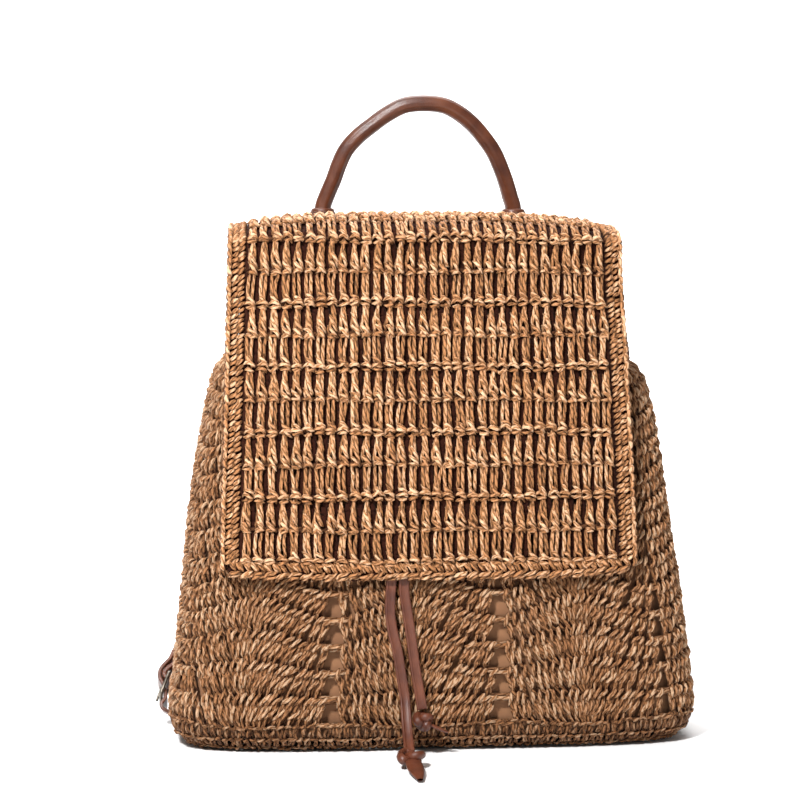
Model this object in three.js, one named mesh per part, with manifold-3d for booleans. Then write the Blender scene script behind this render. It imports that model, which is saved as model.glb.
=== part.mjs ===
// A crocheted straw backpack: an openwork body gathered by a drawstring, a long flap over its mouth,
// a rolled leather handle and two leather shoulder straps. Millimetres, +Z up, the front faces -Y.
// The origin is the middle of the underside of the base.
import * as THREE from "three";
import Module from "manifold-3d";
import { mergeVertices } from "three/addons/utils/BufferGeometryUtils.js";

const wasm = await Module();
wasm.setup();

// Driving dimensions
const CLEAR = 0.35;
const HALF_WIDTH = 155;
const HALF_DEPTH = 65;
const MOUTH_HEIGHT = 290;
const HEEL = 18;
const WALL = 4;
const LINING_WALL = 1;
const PLEATS = 12;
const PLEAT_DEPTH = 4.5;
const FLAP_WALL = 4.5;
const FLAP_HALF = 119;
const FLAP_CENTRE = -4;
const FLAP_RISE = 20.5;
const FLAP_HEM = 100;
const FLAP_BORDER = 10.5;
const FLAP_BEND = 7;
const FLAP_RIB = 0.8;
const LACE_WIDTH = 6;
const LACE_THICK = 3.2;
const CORD_RADIUS = 1.7;
const HANDLE_RADIUS = 5;
const HANDLE_SPAN = 119;
const HANDLE_HEIGHT = 78;
const FOOT_RISE = 12;
const TAB_THICK = 2.6;
const TAB_WIDTH = 34;
const TAB_HEIGHT = 38;
const COLLAR_WALL = 1.9;
const STRAP_WIDTH = 15;
const STRAP_THICK = 2.6;
const BUCKLE_BAR = 2.2;
const BUCKLE_REACH = 16;
const PRONG_RADIUS = 1.1;
const STRAP_BOW = 42;
const GAP_WIDTH = 12.5;
const GAP_HEIGHT = 7.5;

// Body sections from the base to the rim. up: share of MOUTH_HEIGHT. left, right: share of HALF_WIDTH.
// front, back: share of HALF_DEPTH. square: 2 is an oval, more is boxier. gather: share of PLEAT_DEPTH.
const BODY = [
  { up: 0.0, left: 0.982, right: 1.01, front: 0.985, back: 0.985, square: 4.2, gather: 0 },
  { up: 0.052, left: 0.987, right: 1.016, front: 0.99, back: 0.99, square: 4.2, gather: 0 },
  { up: 0.155, left: 0.963, right: 0.998, front: 1.0, back: 1.0, square: 4.0, gather: 0 },
  { up: 0.307, left: 0.933, right: 0.962, front: 0.975, back: 0.985, square: 3.8, gather: 0 },
  { up: 0.483, left: 0.9, right: 0.913, front: 0.92, back: 0.95, square: 3.6, gather: 0 },
  { up: 0.617, left: 0.862, right: 0.878, front: 0.86, back: 0.91, square: 3.5, gather: 0 },
  { up: 0.719, left: 0.822, right: 0.838, front: 0.79, back: 0.87, square: 3.4, gather: 0.04 },
  { up: 0.755, left: 0.798, right: 0.805, front: 0.765, back: 0.855, square: 3.3, gather: 0.12 },
  { up: 0.786, left: 0.745, right: 0.715, front: 0.735, back: 0.84, square: 3.2, gather: 0.35 },
  { up: 0.822, left: 0.68, right: 0.67, front: 0.69, back: 0.81, square: 3.1, gather: 0.7 },
  { up: 0.876, left: 0.635, right: 0.635, front: 0.61, back: 0.75, square: 3.0, gather: 1 },
  { up: 0.945, left: 0.61, right: 0.61, front: 0.54, back: 0.68, square: 3.0, gather: 1 },
  { up: 1.0, left: 0.63, right: 0.63, front: 0.565, back: 0.7, square: 3.0, gather: 0.8 },
];
// Heights where the shells have a ring of points, as shares of MOUTH_HEIGHT
const RINGS = [0.24, 0.45, 0.63, 0.735, 0.785, 0.835, 0.885, 0.945];
const LINING_TOP = 0.885;
const NECK = 0.945;
const AROUND = PLEATS * 4;

// Columns of gaps between the fans. around: share of the way round from the front centre towards +X.
// wide, high: shares of GAP_WIDTH and GAP_HEIGHT.
const GAP_COLUMNS = [
  { around: 0.049, wide: 1, high: 1 },
  { around: 0.171, wide: 0.56, high: 1 },
  { around: 0.296, wide: 0.72, high: 0.93 },
  { around: 0.421, wide: 0.88, high: 0.93 },
  { around: 0.546, wide: 0.88, high: 0.93 },
  { around: 0.671, wide: 0.72, high: 0.93 },
  { around: 0.796, wide: 0.56, high: 1.07 },
  { around: 0.921, wide: 1, high: 1 },
];
const GAP_ROWS = 5;
const FAN_PITCH = 15;
const GAP_LOWEST = 24.5;
const GAP_SIDES = 6;

// Half width of the flap. along: share of its length from the hem. half: share of FLAP_HALF.
const FLAP_OUTLINE = [
  { along: 0, half: 1.0 },
  { along: 0.08, half: 0.995 },
  { along: 0.3, half: 0.975 },
  { along: 0.6, half: 0.95 },
  { along: 0.78, half: 0.935 },
  { along: 0.86, half: 0.915 },
  { along: 1, half: 0.9 },
];
const FLAP_ROOT = 0.875;
const FLAP_TURN = 1.005;
const HEM_LIFT = 3;
const FLAP_COLUMNS = 8;
const BACK_ROWS = 3;
const FRONT_ROWS = 11;

// The handle's arch from its feet to the top. right, left: shares of half the span. up: share of
// HANDLE_HEIGHT. lean: share of the way from the foot's depth to the apex's depth.
const HANDLE = [
  { right: 1, left: 1, up: 0, lean: 0 },
  { right: 1, left: 1, up: 0.17, lean: 0 },
  { right: 0.96, left: 0.956, up: 0.27, lean: 0.1 },
  { right: 0.909, left: 0.889, up: 0.39, lean: 0.25 },
  { right: 0.844, left: 0.834, up: 0.51, lean: 0.4 },
  { right: 0.771, left: 0.766, up: 0.62, lean: 0.55 },
  { right: 0.674, left: 0.655, up: 0.72, lean: 0.7 },
  { right: 0.556, left: 0.494, up: 0.82, lean: 0.83 },
  { right: 0.408, left: 0.326, up: 0.91, lean: 0.93 },
  { right: 0.227, left: 0.141, up: 0.975, lean: 1 },
];
const HANDLE_FOOT = MOUTH_HEIGHT + FOOT_RISE;
const HANDLE_LEAN = 12;
const HANDLE_CENTRE = 2;
const HANDLE_SIDES = 10;
// How far the flap's flat faces stand outside its curve where the patches sit
const FLAT_FALL = 0.3;
const COLLAR_HEIGHT = 13;

// Routes of the free ends of the drawstring, x and z, and how far the middle of the lace stands off the
// front of the body. They are the points of a loose cord, chosen by hand.
const LACE_LEFT = [
  [-5, 277.5, 2.2],
  [-6, 262, 2.1],
  [-9, 240, 2.1],
  [-13, 215, 2.1],
  [-17.5, 190, 2.1],
  [-21, 165, 2.1],
  [-24, 140, 2.1],
  [-26, 118, 2.1],
  [-26.8, 99, 2.4],
  [-27.6, 82, 3.0],
  [-26, 70, 3.4],
  [-23.6, 60, 3.8],
  [-21.4, 46, 4.4],
  [-19.6, 33.5, 5.8],
  [-19.2, 22, 11.5],
  [-19.1, 13, 20],
  [-19.2, 7.4, 30.2],
];
const LACE_RIGHT = [
  [5, 277.5, 2.2],
  [4.4, 262, 2.1],
  [2, 240, 2.1],
  [-2, 215, 2.1],
  [-7, 190, 2.1],
  [-11.5, 165, 2.1],
  [-15.3, 140, 2.1],
  [-18, 118, 2.1],
  [-19.6, 96, 2.4],
  [-17.8, 82, 2.8],
  [-15.8, 68, 3.2],
  [-13.4, 50, 4.0],
  [-11, 35, 5.2],
  [-9.7, 26.8, 6.0],
];
// Knots. place: middle, size: half sizes, tail: points of its tail with the half width at each.
const KNOTS = {
  left: {
    place: [-19.2, -102, 5.7],
    size: [9.2, 7.8, 5.5],
    tail: [
      [-18.6, -108, 4.6, 4.6],
      [-18.4, -117, 3.4, 4.8],
      [-18.2, -125, 2.7, 4.2],
      [-18.1, -133, 2.3, 3.0],
      [-18.2, -141, 1.9, 1.6],
    ],
  },
  right: {
    place: [-9.3, -71.8, 20.4],
    size: [6.7, 5.5, 6.2],
    tail: [
      [-6, -72, 18.4, 2.6],
      [-2.2, -71.8, 16.6, 2.6],
      [1.4, -71.2, 14.8, 2.4],
      [4.8, -70.6, 13.4, 1.6],
    ],
  },
};
const TAIL_THICK = 2.4;

// Shoulder straps, from under the patch on the back towards the buckle. across: share of HALF_WIDTH.
// up: share of MOUTH_HEIGHT. bow: how far behind the flap's back face the strap lies, as a share of
// STRAP_BOW (0 is on it). turn: degrees from flat against the back to edge-on from the front.
// buckle: its middle, around: share of the way round the body, rise: share of HEEL, stand: distance from
// the body's face as a share of BUCKLE_REACH. lean: direction of the strap there. seat: share of the way
// round the body where the strap's lower end is sewn under the heel.
const STRAPS = {
  left: {
    buckle: { around: 0.6962, rise: 1.111, stand: 0.658 },
    lean: [0.33, 0.55, 0.77],
    seat: 0.697,
    route: [
      { across: -0.077, up: 0.955, bow: 0, turn: 0 },
      { across: -0.097, up: 0.914, bow: 0.021, turn: 0 },
      { across: -0.148, up: 0.869, bow: 0.06, turn: 5 },
      { across: -0.29, up: 0.821, bow: 0.286, turn: 25 },
      { across: -0.477, up: 0.762, bow: 0.571, turn: 50 },
      { across: -0.613, up: 0.669, bow: 0.81, turn: 75 },
      { across: -0.697, up: 0.552, bow: 0.952, turn: 85 },
      { across: -0.768, up: 0.421, bow: 1, turn: 85 },
      { across: -0.839, up: 0.297, bow: 0.81, turn: 85 },
    ],
  },
  right: {
    buckle: { around: 0.3056, rise: 1.128, stand: 0.511 },
    lean: [-0.22, 0.55, 0.8],
    seat: 0.305,
    route: [
      { across: 0.077, up: 0.955, bow: 0, turn: 0 },
      { across: 0.116, up: 0.917, bow: 0.026, turn: 0 },
      { across: 0.245, up: 0.903, bow: 0.095, turn: 5 },
      { across: 0.465, up: 0.907, bow: 0.238, turn: 20 },
      { across: 0.69, up: 0.9, bow: 0.31, turn: 45 },
      { across: 0.832, up: 0.859, bow: 0.357, turn: 70 },
      { across: 0.877, up: 0.79, bow: 0.452, turn: 85 },
      { across: 0.887, up: 0.7, bow: 0.643, turn: 88 },
      { across: 0.89, up: 0.569, bow: 0.857, turn: 88 },
      { across: 0.894, up: 0.431, bow: 0.952, turn: 88 },
      { across: 0.894, up: 0.31, bow: 0.857, turn: 85 },
    ],
  },
};
// The patch over the top ends of the straps: half its width, its height and how far its lower edge lies
// below the mouth
const ANCHOR = { half: 27, high: 25, below: 32, skin: 2 };
const ANCHOR_LOW = MOUTH_HEIGHT - ANCHOR.below;
const KEEPER = { at: 36, wide: 6, wall: 1.3 };
const LOWER_THICK = 2.2;

const MATERIALS = {
  straw: { color: 0xb98a5c, roughness: 0.75, metalness: 0 },
  cloth: { color: 0xa8805c, roughness: 0.85, metalness: 0 },
  leather: { color: 0x743a24, roughness: 0.5, metalness: 0 },
  metal: { color: 0x4b4640, roughness: 0.42, metalness: 0.9 },
};

const bag = new THREE.Group();

function add(name, finish, geometry) {
  const material = new THREE.MeshStandardMaterial(MATERIALS[finish]);
  const mesh = new THREE.Mesh(geometry, material);
  mesh.name = name;
  bag.add(mesh);
}

// Value of a table's column at a place between its rows, as a smooth curve through them
function column(rows, key, at, name) {
  let i = 0;
  while (i < rows.length - 2 && at > rows[i + 1][key]) i += 1;
  const slope = (j) => {
    const a = rows[Math.max(0, j - 1)];
    const b = rows[Math.min(rows.length - 1, j + 1)];
    return (b[name] - a[name]) / (b[key] - a[key]);
  };
  const [a, b] = [rows[i], rows[i + 1]];
  const run = b[key] - a[key];
  const t = THREE.MathUtils.clamp((at - a[key]) / run, 0, 1);
  const [t2, t3] = [t * t, t * t * t];
  return (
    (2 * t3 - 3 * t2 + 1) * a[name] +
    (t3 - 2 * t2 + t) * run * slope(i) +
    (3 * t2 - 2 * t3) * b[name] +
    (t3 - t2) * run * slope(i + 1)
  );
}

const bodyAt = (z, name) => column(BODY, "up", z / MOUTH_HEIGHT, name);
const frontAt = (z) => bodyAt(z, "front") * HALF_DEPTH;
const backAt = (z) => bodyAt(z, "back") * HALF_DEPTH;
const pleatAt = (z) => bodyAt(z, "gather") * PLEAT_DEPTH;

// Points round one quarter of a section, evenly spaced along it, from the front or back centre outwards
function quarter(wide, deep, square, count) {
  const fine = count * 3;
  const spot = (k) => {
    const a = (k / fine) * (Math.PI / 2);
    return [wide * Math.sin(a) ** (2 / square), deep * Math.cos(a) ** (2 / square)];
  };
  const run = [0];
  for (let k = 1; k <= fine; k += 1) {
    const [p, q] = [spot(k - 1), spot(k)];
    run.push(run[k - 1] + Math.hypot(q[0] - p[0], q[1] - p[1]));
  }
  const points = [];
  let k = 1;
  for (let i = 0; i <= count; i += 1) {
    const want = (run[fine] * i) / count;
    while (k < fine && run[k] < want) k += 1;
    const t = (want - run[k - 1]) / (run[k] - run[k - 1]);
    const [p, q] = [spot(k - 1), spot(k)];
    points.push([p[0] + (q[0] - p[0]) * t, p[1] + (q[1] - p[1]) * t]);
  }
  return points;
}

// The outer section at a height, from the front centre round by +X, as FINE points with outward normals
const FINE = AROUND * 8;
const sections = new Map();
function section(z) {
  if (!sections.has(z)) sections.set(z, newSection(z));
  return sections.get(z);
}
function newSection(z) {
  const each = FINE / 4;
  const square = bodyAt(z, "square");
  const [left, right] = [bodyAt(z, "left") * HALF_WIDTH, bodyAt(z, "right") * HALF_WIDTH];
  const [front, back] = [frontAt(z), backAt(z)];
  const points = [];
  quarter(right, front, square, each).slice(0, -1).forEach(([x, y]) => points.push([x, -y]));
  quarter(right, back, square, each).slice(1).reverse().forEach(([x, y]) => points.push([x, y]));
  quarter(left, back, square, each).slice(0, -1).forEach(([x, y]) => points.push([-x, y]));
  quarter(left, front, square, each).slice(1).reverse().forEach(([x, y]) => points.push([-x, -y]));
  return points.map(([x, y], i) => {
    const before = points[(i + FINE - 2) % FINE];
    const after = points[(i + 2) % FINE];
    const [dx, dy] = [after[0] - before[0], after[1] - before[1]];
    const size = Math.hypot(dx, dy);
    return { x, y, nx: dy / size, ny: -dx / size };
  });
}

// A place off the body's outer face: share of the way round, height and distance out
function wallSpot(around, z, out) {
  const at = around * FINE;
  const [a, b] = [section(z)[Math.floor(at)], section(z)[Math.floor(at) + 1]];
  const between = (name) => THREE.MathUtils.lerp(a[name], b[name], at - Math.floor(at));
  return new THREE.Vector3(between("x") + between("nx") * out, between("y") + between("ny") * out, z);
}

// How far in a shell lies at a height. Its depth below the outer face is the same round the heel.
function insetAt(z, depth) {
  if (z >= HEEL) return depth;
  return HEEL - Math.sqrt(Math.max(0, (HEEL - depth) ** 2 - (HEEL - z) ** 2));
}

// Pleated or, for the lining, clear of the pleats and smooth.
function ring(z, depth, count, pleated = true) {
  const inset = insetAt(z, depth);
  const points = section(z);
  return Array.from({ length: count }, (_, i) => {
    const { x, y, nx, ny } = points[(i * FINE) / count];
    const wave = pleated ? Math.cos((2 * Math.PI * PLEATS * i) / count) : -1;
    const out = pleatAt(z) * wave - inset;
    return new THREE.Vector3(x + nx * out, y + ny * out, z);
  });
}

// Six times the volume inside a closed surface, which is negative if its faces point in
function signedVolume(positions, faces) {
  const corner = (i) => new THREE.Vector3(...positions.slice(faces[i] * 3, faces[i] * 3 + 3));
  let sum = 0;
  for (let i = 0; i < faces.length; i += 3) sum += corner(i).dot(corner(i + 1).cross(corner(i + 2)));
  return sum;
}

// A closed surface through rings of points, with a fan of faces over the first and the last
function loft(rings) {
  const count = rings[0].length;
  const positions = rings.flat().flatMap((p) => [p.x, p.y, p.z]);
  const faces = [];
  for (let r = 0; r < rings.length - 1; r += 1) {
    const [low, high] = [r * count, (r + 1) * count];
    for (let i = 0; i < count; i += 1) {
      const j = (i + 1) % count;
      faces.push(low + i, low + j, high + j, low + i, high + j, high + i);
    }
  }
  [0, rings.length - 1].forEach((r, last) => {
    const middle = new THREE.Vector3();
    rings[r].forEach((p) => middle.addScaledVector(p, 1 / count));
    const centre = positions.length / 3;
    positions.push(middle.x, middle.y, middle.z);
    for (let i = 0; i < count; i += 1) {
      const [a, b] = [r * count + i, r * count + ((i + 1) % count)];
      faces.push(centre, ...(last ? [a, b] : [b, a]));
    }
  });
  if (signedVolume(positions, faces) < 0) faces.reverse();
  const geometry = new THREE.BufferGeometry();
  geometry.setAttribute("position", new THREE.Float32BufferAttribute(positions, 3));
  geometry.setIndex(faces);
  geometry.computeVertexNormals();
  return geometry;
}

function solid(geometry) {
  const bare = geometry.clone();
  bare.deleteAttribute("normal");
  bare.deleteAttribute("uv");
  const merged = mergeVertices(bare, 1e-4);
  return new wasm.Manifold(
    new wasm.Mesh({
      numProp: 3,
      vertProperties: new Float32Array(merged.attributes.position.array),
      triVerts: new Uint32Array(merged.index.array),
    }),
  );
}

function geometryOf(manifold) {
  const mesh = manifold.getMesh();
  const geometry = new THREE.BufferGeometry();
  geometry.setAttribute("position", new THREE.BufferAttribute(mesh.vertProperties, 3));
  geometry.setIndex(new THREE.BufferAttribute(mesh.triVerts, 1));
  geometry.computeVertexNormals();
  return geometry;
}

const united = (parts) => parts.reduce((whole, part) => whole.add(part));
const cutBy = (whole, tools) => tools.reduce((rest, tool) => rest.subtract(tool), whole);

const HEEL_STEP = 1 - Math.SQRT1_2;

// A vessel's wall between two depths below the body's outer face, from the base to a height
function shell(outer, inner, top, count, pleated) {
  const heights = (depth) => {
    const heel = [depth, depth + (HEEL - depth) * HEEL_STEP, HEEL];
    return [...heel, ...RINGS.filter((up) => up < top).map((up) => up * MOUTH_HEIGHT), top * MOUTH_HEIGHT];
  };
  const outside = heights(outer).map((z) => ring(z, outer, count, pleated));
  const inside = heights(inner).map((z) => ring(z, inner, count, pleated));
  return loft([...outside, ...inside.reverse()]);
}

// The direction of a line of points at one of them, and the sideways direction of a line seen from the front.
function tangentAt(points, i) {
  const [before, after] = [points[Math.max(i - 1, 0)], points[Math.min(i + 1, points.length - 1)]];
  return after.clone().sub(before).normalize();
}
const sideways = (tangent) => new THREE.Vector3(0, 1, 0).cross(tangent);
// A tube of round or flat section along points. wide, thick: half sizes, or functions of the place.
function tube(points, wide, thick, sides, across) {
  const rings = points.map((p, i) => {
    const tangent = tangentAt(points, i);
    const side = across(tangent, i).normalize();
    const normal = new THREE.Vector3().crossVectors(tangent, side).normalize();
    return Array.from({ length: sides }, (_, k) => {
      const a = (2 * Math.PI * (k + 0.5)) / sides;
      const w = (typeof wide === "function" ? wide(i) : wide) * Math.cos(a);
      return p.clone().addScaledVector(side, w).addScaledVector(normal, thick * Math.sin(a));
    });
  });
  return loft(rings);
}

// A strap of rectangular section along points, with the direction of its width at each
function ribbon(points, widths, wide, thick) {
  const rings = points.map((p, i) => {
    const tangent = tangentAt(points, i);
    const side = widths[i].clone().addScaledVector(tangent, -widths[i].dot(tangent)).normalize();
    const normal = new THREE.Vector3().crossVectors(tangent, side);
    const corners = [[-1, -1], [1, -1], [1, 1], [-1, 1]];
    return corners.map(([a, b]) =>
      p.clone().addScaledVector(side, (a * wide) / 2).addScaledVector(normal, (b * thick) / 2));
  });
  return loft(rings);
}

const smooth = (points) => new THREE.CatmullRomCurve3(points, false, "centripetal");
const curveThrough = (points, steps) => smooth(points).getSpacedPoints(steps);

// Body and lining
function perforations() {
  const tools = [];
  for (const { around, wide, high } of GAP_COLUMNS) {
    for (let row = 0; row < GAP_ROWS; row += 1) {
      const z = GAP_LOWEST + FAN_PITCH * row;
      const spot = section(z)[Math.round(around * FINE) % FINE];
      const tool = new THREE.CylinderGeometry(0.5, 0.5, WALL * 3, GAP_SIDES);
      tool.rotateY(Math.PI / GAP_SIDES);
      tool.scale(wide * GAP_WIDTH, 1, high * GAP_HEIGHT);
      tool.rotateZ(Math.PI);
      const turn = new THREE.Matrix4().makeBasis(
        new THREE.Vector3(-spot.ny, spot.nx, 0),
        new THREE.Vector3(spot.nx, spot.ny, 0),
        new THREE.Vector3(0, 0, 1).negate(),
      );
      tool.applyMatrix4(turn);
      tool.translate(spot.x - (spot.nx * WALL) / 2, spot.y - (spot.ny * WALL) / 2, z);
      tools.push(solid(tool));
    }
  }
  return tools;
}

// The drawstring runs inside the neck and comes out over these stretches, as shares of the way round
const OUTSIDE = [[0.01, 0.03], [0.18, 0.32], [0.68, 0.82], [0.97, 0.99]];
function drawstringPath() {
  const z = NECK * MOUTH_HEIGHT;
  const [out, within] = [-(CLEAR + CORD_RADIUS), WALL + CLEAR + CORD_RADIUS];
  const outer = ring(z, out, AROUND);
  const inner = ring(z, within, AROUND);
  const path = [];
  for (let i = 1; i < AROUND; i += 1) {
    const outside = OUTSIDE.some(([a, b]) => i / AROUND > a && i / AROUND < b);
    path.push((outside ? outer : inner)[i]);
  }
  return path;
}
const levelAcross = (tangent) => new THREE.Vector3(0, 0, 1).cross(tangent);
const drawstring = (radius) => tube(drawstringPath(), radius, radius, 6, levelAcross);

const bodyWall = solid(shell(0, WALL, 1, AROUND, true));
const cordWay = solid(drawstring(CORD_RADIUS + CLEAR));
add("crochet_body", "straw", geometryOf(cutBy(bodyWall, [...perforations(), cordWay])));
add("lining", "cloth", shell(WALL + CLEAR, WALL + CLEAR + LINING_WALL, LINING_TOP, AROUND / 2, false));
add("drawstring", "leather", drawstring(CORD_RADIUS));

// Flap. Its middle surface in the side view: up the back, over the mouth and down the front.
const LACE_SPACE = LACE_THICK + 1;
function flapSpine() {
  const turn = FLAP_TURN * MOUTH_HEIGHT;
  const behind = (z) => backAt(z) + pleatAt(z) + 2 * CLEAR + FLAP_WALL / 2;
  const before = (z) => -(frontAt(z) + pleatAt(z) + LACE_SPACE + FLAP_WALL / 2);
  const [yb, yf] = [behind(turn), before(turn)];
  const rise = MOUTH_HEIGHT + FLAP_RISE - FLAP_WALL / 2 - turn;
  const path = [];
  const steps = 40;
  for (let i = 0; i < steps; i += 1) {
    const z = FLAP_HEM + ((turn - FLAP_HEM) * i) / steps;
    path.push([before(z), z]);
  }
  for (let i = 0; i <= steps; i += 1) {
    const a = (Math.PI * i) / steps;
    const [c, s] = [Math.cos(a), Math.sin(a)];
    const sweep = Math.sign(c) * Math.abs(c) ** 0.85;
    path.push([(yb + yf) / 2 - ((yb - yf) / 2) * sweep, turn + rise * s ** 0.85]);
  }
  const root = FLAP_ROOT * MOUTH_HEIGHT;
  for (let i = 1; i <= 8; i += 1) {
    const z = turn + ((root - turn) * i) / 8;
    path.push([behind(z), z]);
  }
  return path;
}
const SPINE = flapSpine();
const SPINE_RUN = SPINE.map(() => 0);
for (let i = 1; i < SPINE.length; i += 1) {
  SPINE_RUN[i] = SPINE_RUN[i - 1] + Math.hypot(SPINE[i][0] - SPINE[i - 1][0], SPINE[i][1] - SPINE[i - 1][1]);
}
const FLAP_LENGTH = SPINE_RUN[SPINE.length - 1];

function spineAt(along) {
  const at = THREE.MathUtils.clamp(along, 0, FLAP_LENGTH);
  let i = 1;
  while (i < SPINE.length - 1 && SPINE_RUN[i] < at) i += 1;
  const t = (at - SPINE_RUN[i - 1]) / (SPINE_RUN[i] - SPINE_RUN[i - 1]);
  const [a, b] = [SPINE[Math.max(i - 2, 0)], SPINE[Math.min(i + 1, SPINE.length - 1)]];
  const size = Math.hypot(b[0] - a[0], b[1] - a[1]);
  return {
    y: SPINE[i - 1][0] + (SPINE[i][0] - SPINE[i - 1][0]) * t,
    z: SPINE[i - 1][1] + (SPINE[i][1] - SPINE[i - 1][1]) * t,
    ny: -(b[1] - a[1]) / size,
    nz: (b[0] - a[0]) / size,
  };
}

const flapHalf = (along) => column(FLAP_OUTLINE, "along", along / FLAP_LENGTH, "half") * FLAP_HALF;

// A point of the flap. x: mm from its centre line, along: mm from the hem, out: mm off its middle surface.
function flapPoint(x, along, out) {
  const share = Math.abs(x) / flapHalf(along);
  const lift = HEM_LIFT * share ** 4 * Math.max(0, 1 - along / (3 * FLAP_BORDER));
  const { y, z, ny, nz } = spineAt(along + lift);
  const off = out - FLAP_BEND * share ** 3.5;
  return new THREE.Vector3(FLAP_CENTRE + x, y + ny * off, z + nz * off);
}

// A solid between the two faces of a sheet of points, where at(i, j, face) gives a point
function sheet(columns, rows, at) {
  const rings = [];
  for (let j = 0; j <= rows; j += 1) {
    const front = Array.from({ length: columns + 1 }, (_, i) => at(i, j, 1));
    const rear = Array.from({ length: columns + 1 }, (_, i) => at(columns - i, j, -1));
    rings.push([...front, ...rear]);
  }
  return loft(rings);
}

const FIELD_LENGTH = FLAP_LENGTH - FLAP_BORDER - CLEAR;
const FLAP_ROWS = FRONT_ROWS + BACK_ROWS;
function flapField() {
  const pitch = FIELD_LENGTH / FLAP_ROWS;
  return sheet(FLAP_COLUMNS, FLAP_ROWS * 2, (i, j, face) => {
    const along = FLAP_BORDER + CLEAR + (j * pitch) / 2;
    const half = flapHalf(along) - FLAP_BORDER - CLEAR;
    const rib = j % 2 === 0 && face > 0 ? FLAP_RIB : 0;
    return flapPoint(((2 * i) / FLAP_COLUMNS - 1) * half, along, (face * FLAP_WALL) / 2 + rib);
  });
}
add("flap", "straw", flapField());

// Border of the flap: pairs of an inner and an outer point, from the root on the left round the hem
function borderPairs() {
  const sideSteps = 15;
  const cornerSteps = 4;
  const hemSteps = 10;
  const side = [];
  for (let i = 0; i < sideSteps; i += 1) {
    const along = FLAP_LENGTH - ((FLAP_LENGTH - FLAP_BORDER) * i) / sideSteps;
    side.push([[flapHalf(along) - FLAP_BORDER, along], [flapHalf(along), along]]);
  }
  const corner = flapHalf(FLAP_BORDER) - FLAP_BORDER;
  for (let i = 0; i <= cornerSteps; i += 1) {
    const a = (Math.PI / 2) * (i / cornerSteps);
    const outer = [corner + FLAP_BORDER * Math.cos(a), FLAP_BORDER * (1 - Math.sin(a))];
    side.push([[corner + 0.001 * Math.cos(a), FLAP_BORDER - 0.001 * Math.sin(a)], outer]);
  }
  const mirrored = side.map((pair) => pair.map(([x, along]) => [-x, along]));
  const hem = [];
  for (let i = 1; i < hemSteps; i += 1) {
    const x = corner * ((2 * i) / hemSteps - 1);
    hem.push([[x, FLAP_BORDER], [x, 0]]);
  }
  return [...mirrored, ...hem, ...side.reverse()];
}
function edging() {
  const rings = borderPairs().map(([inner, outer]) => {
    const corners = [[inner, 1], [inner, -1], [outer, -1], [outer, 1]];
    return corners.map(([[x, along], face]) => flapPoint(x, along, (face * FLAP_WALL) / 2));
  });
  return loft(rings);
}
add("flap_edging", "straw", edging());

// A point on the part of the flap that lies on the back, at a height
function backSpot(x, z, out) {
  let i = SPINE.length - 1;
  while (i > 0 && SPINE[i][1] < z) i -= 1;
  const [a, b] = [SPINE[i + 1] ?? SPINE[i], SPINE[i]];
  const t = a === b ? 0 : (z - a[1]) / (b[1] - a[1]);
  const along = THREE.MathUtils.lerp(SPINE_RUN[Math.min(i + 1, SPINE.length - 1)], SPINE_RUN[i], t);
  return flapPoint(x - FLAP_CENTRE, along, out);
}
const FLAP_FACE = FLAP_WALL / 2 + FLAP_RIB;

// Handle, and the patches that hold it on the back of the flap
const TAB_TOP = HANDLE_FOOT + COLLAR_HEIGHT - 3;
const TAB_LOW = TAB_TOP - TAB_HEIGHT;
const TAB_INNER = HANDLE_SPAN / 2 - TAB_WIDTH / 2;
const backFaceAt = (t) => {
  const z = THREE.MathUtils.lerp(TAB_LOW, FLAP_TURN * MOUTH_HEIGHT, t);
  return backSpot(HANDLE_CENTRE - TAB_INNER, z, FLAP_WALL / 2).y;
};
const BACK_FACE = Math.max(...[0, 0.5, 1].map(backFaceAt));
const TAB_FACE = BACK_FACE + FLAT_FALL + CLEAR;
const FOOT_DEPTH = TAB_FACE + TAB_THICK + HANDLE_RADIUS + CLEAR;
function handlePath(below) {
  const leg = (side, name) => HANDLE.map((row) => new THREE.Vector3(
    HANDLE_CENTRE + (side * row[name] * HANDLE_SPAN) / 2,
    FOOT_DEPTH - row.lean * HANDLE_LEAN,
    HANDLE_FOOT + row.up * HANDLE_HEIGHT - (row.up === 0 ? below : 0),
  ));
  return curveThrough([...leg(1, "right"), ...leg(-1, "left").reverse()], 24);
}
const handle = (radius, below) => tube(handlePath(below), radius, radius, HANDLE_SIDES, sideways);
add("handle", "leather", handle(HANDLE_RADIUS, 0));

function handleTab(side) {
  const x = HANDLE_CENTRE + (side * HANDLE_SPAN) / 2;
  const [low, top] = [TAB_LOW, TAB_TOP];
  const half = TAB_WIDTH / 2;
  const round = half * 0.55;
  const outline = new THREE.Shape();
  outline.moveTo(-half + round / 2, low);
  outline.lineTo(half - round / 2, low);
  outline.quadraticCurveTo(half, low, half, low + round / 2);
  outline.lineTo(half, top - round);
  outline.quadraticCurveTo(half, top - round / 3, half - round, top);
  outline.lineTo(-half + round, top);
  outline.quadraticCurveTo(-half, top - round / 3, -half, top - round);
  outline.lineTo(-half, low + round / 2);
  outline.quadraticCurveTo(-half, low, -half + round / 2, low);
  const flat = { depth: TAB_THICK, bevelEnabled: false, curveSegments: 3 };
  const plate = new THREE.ExtrudeGeometry(outline, flat);
  plate.rotateX(Math.PI / 2);
  plate.translate(x, TAB_FACE + TAB_THICK, 0);
  const outer = HANDLE_RADIUS + CLEAR + COLLAR_WALL;
  const collar = new THREE.CylinderGeometry(outer, outer, COLLAR_HEIGHT + 2, 14);
  collar.rotateX(Math.PI / 2);
  collar.translate(x, FOOT_DEPTH, HANDLE_FOOT + COLLAR_HEIGHT / 2 - 1);
  const whole = united([solid(plate), solid(collar)]);
  return geometryOf(cutBy(whole, [solid(handle(HANDLE_RADIUS + CLEAR, CLEAR))]));
}
add("handle_tab_left", "leather", handleTab(-1));
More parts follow.
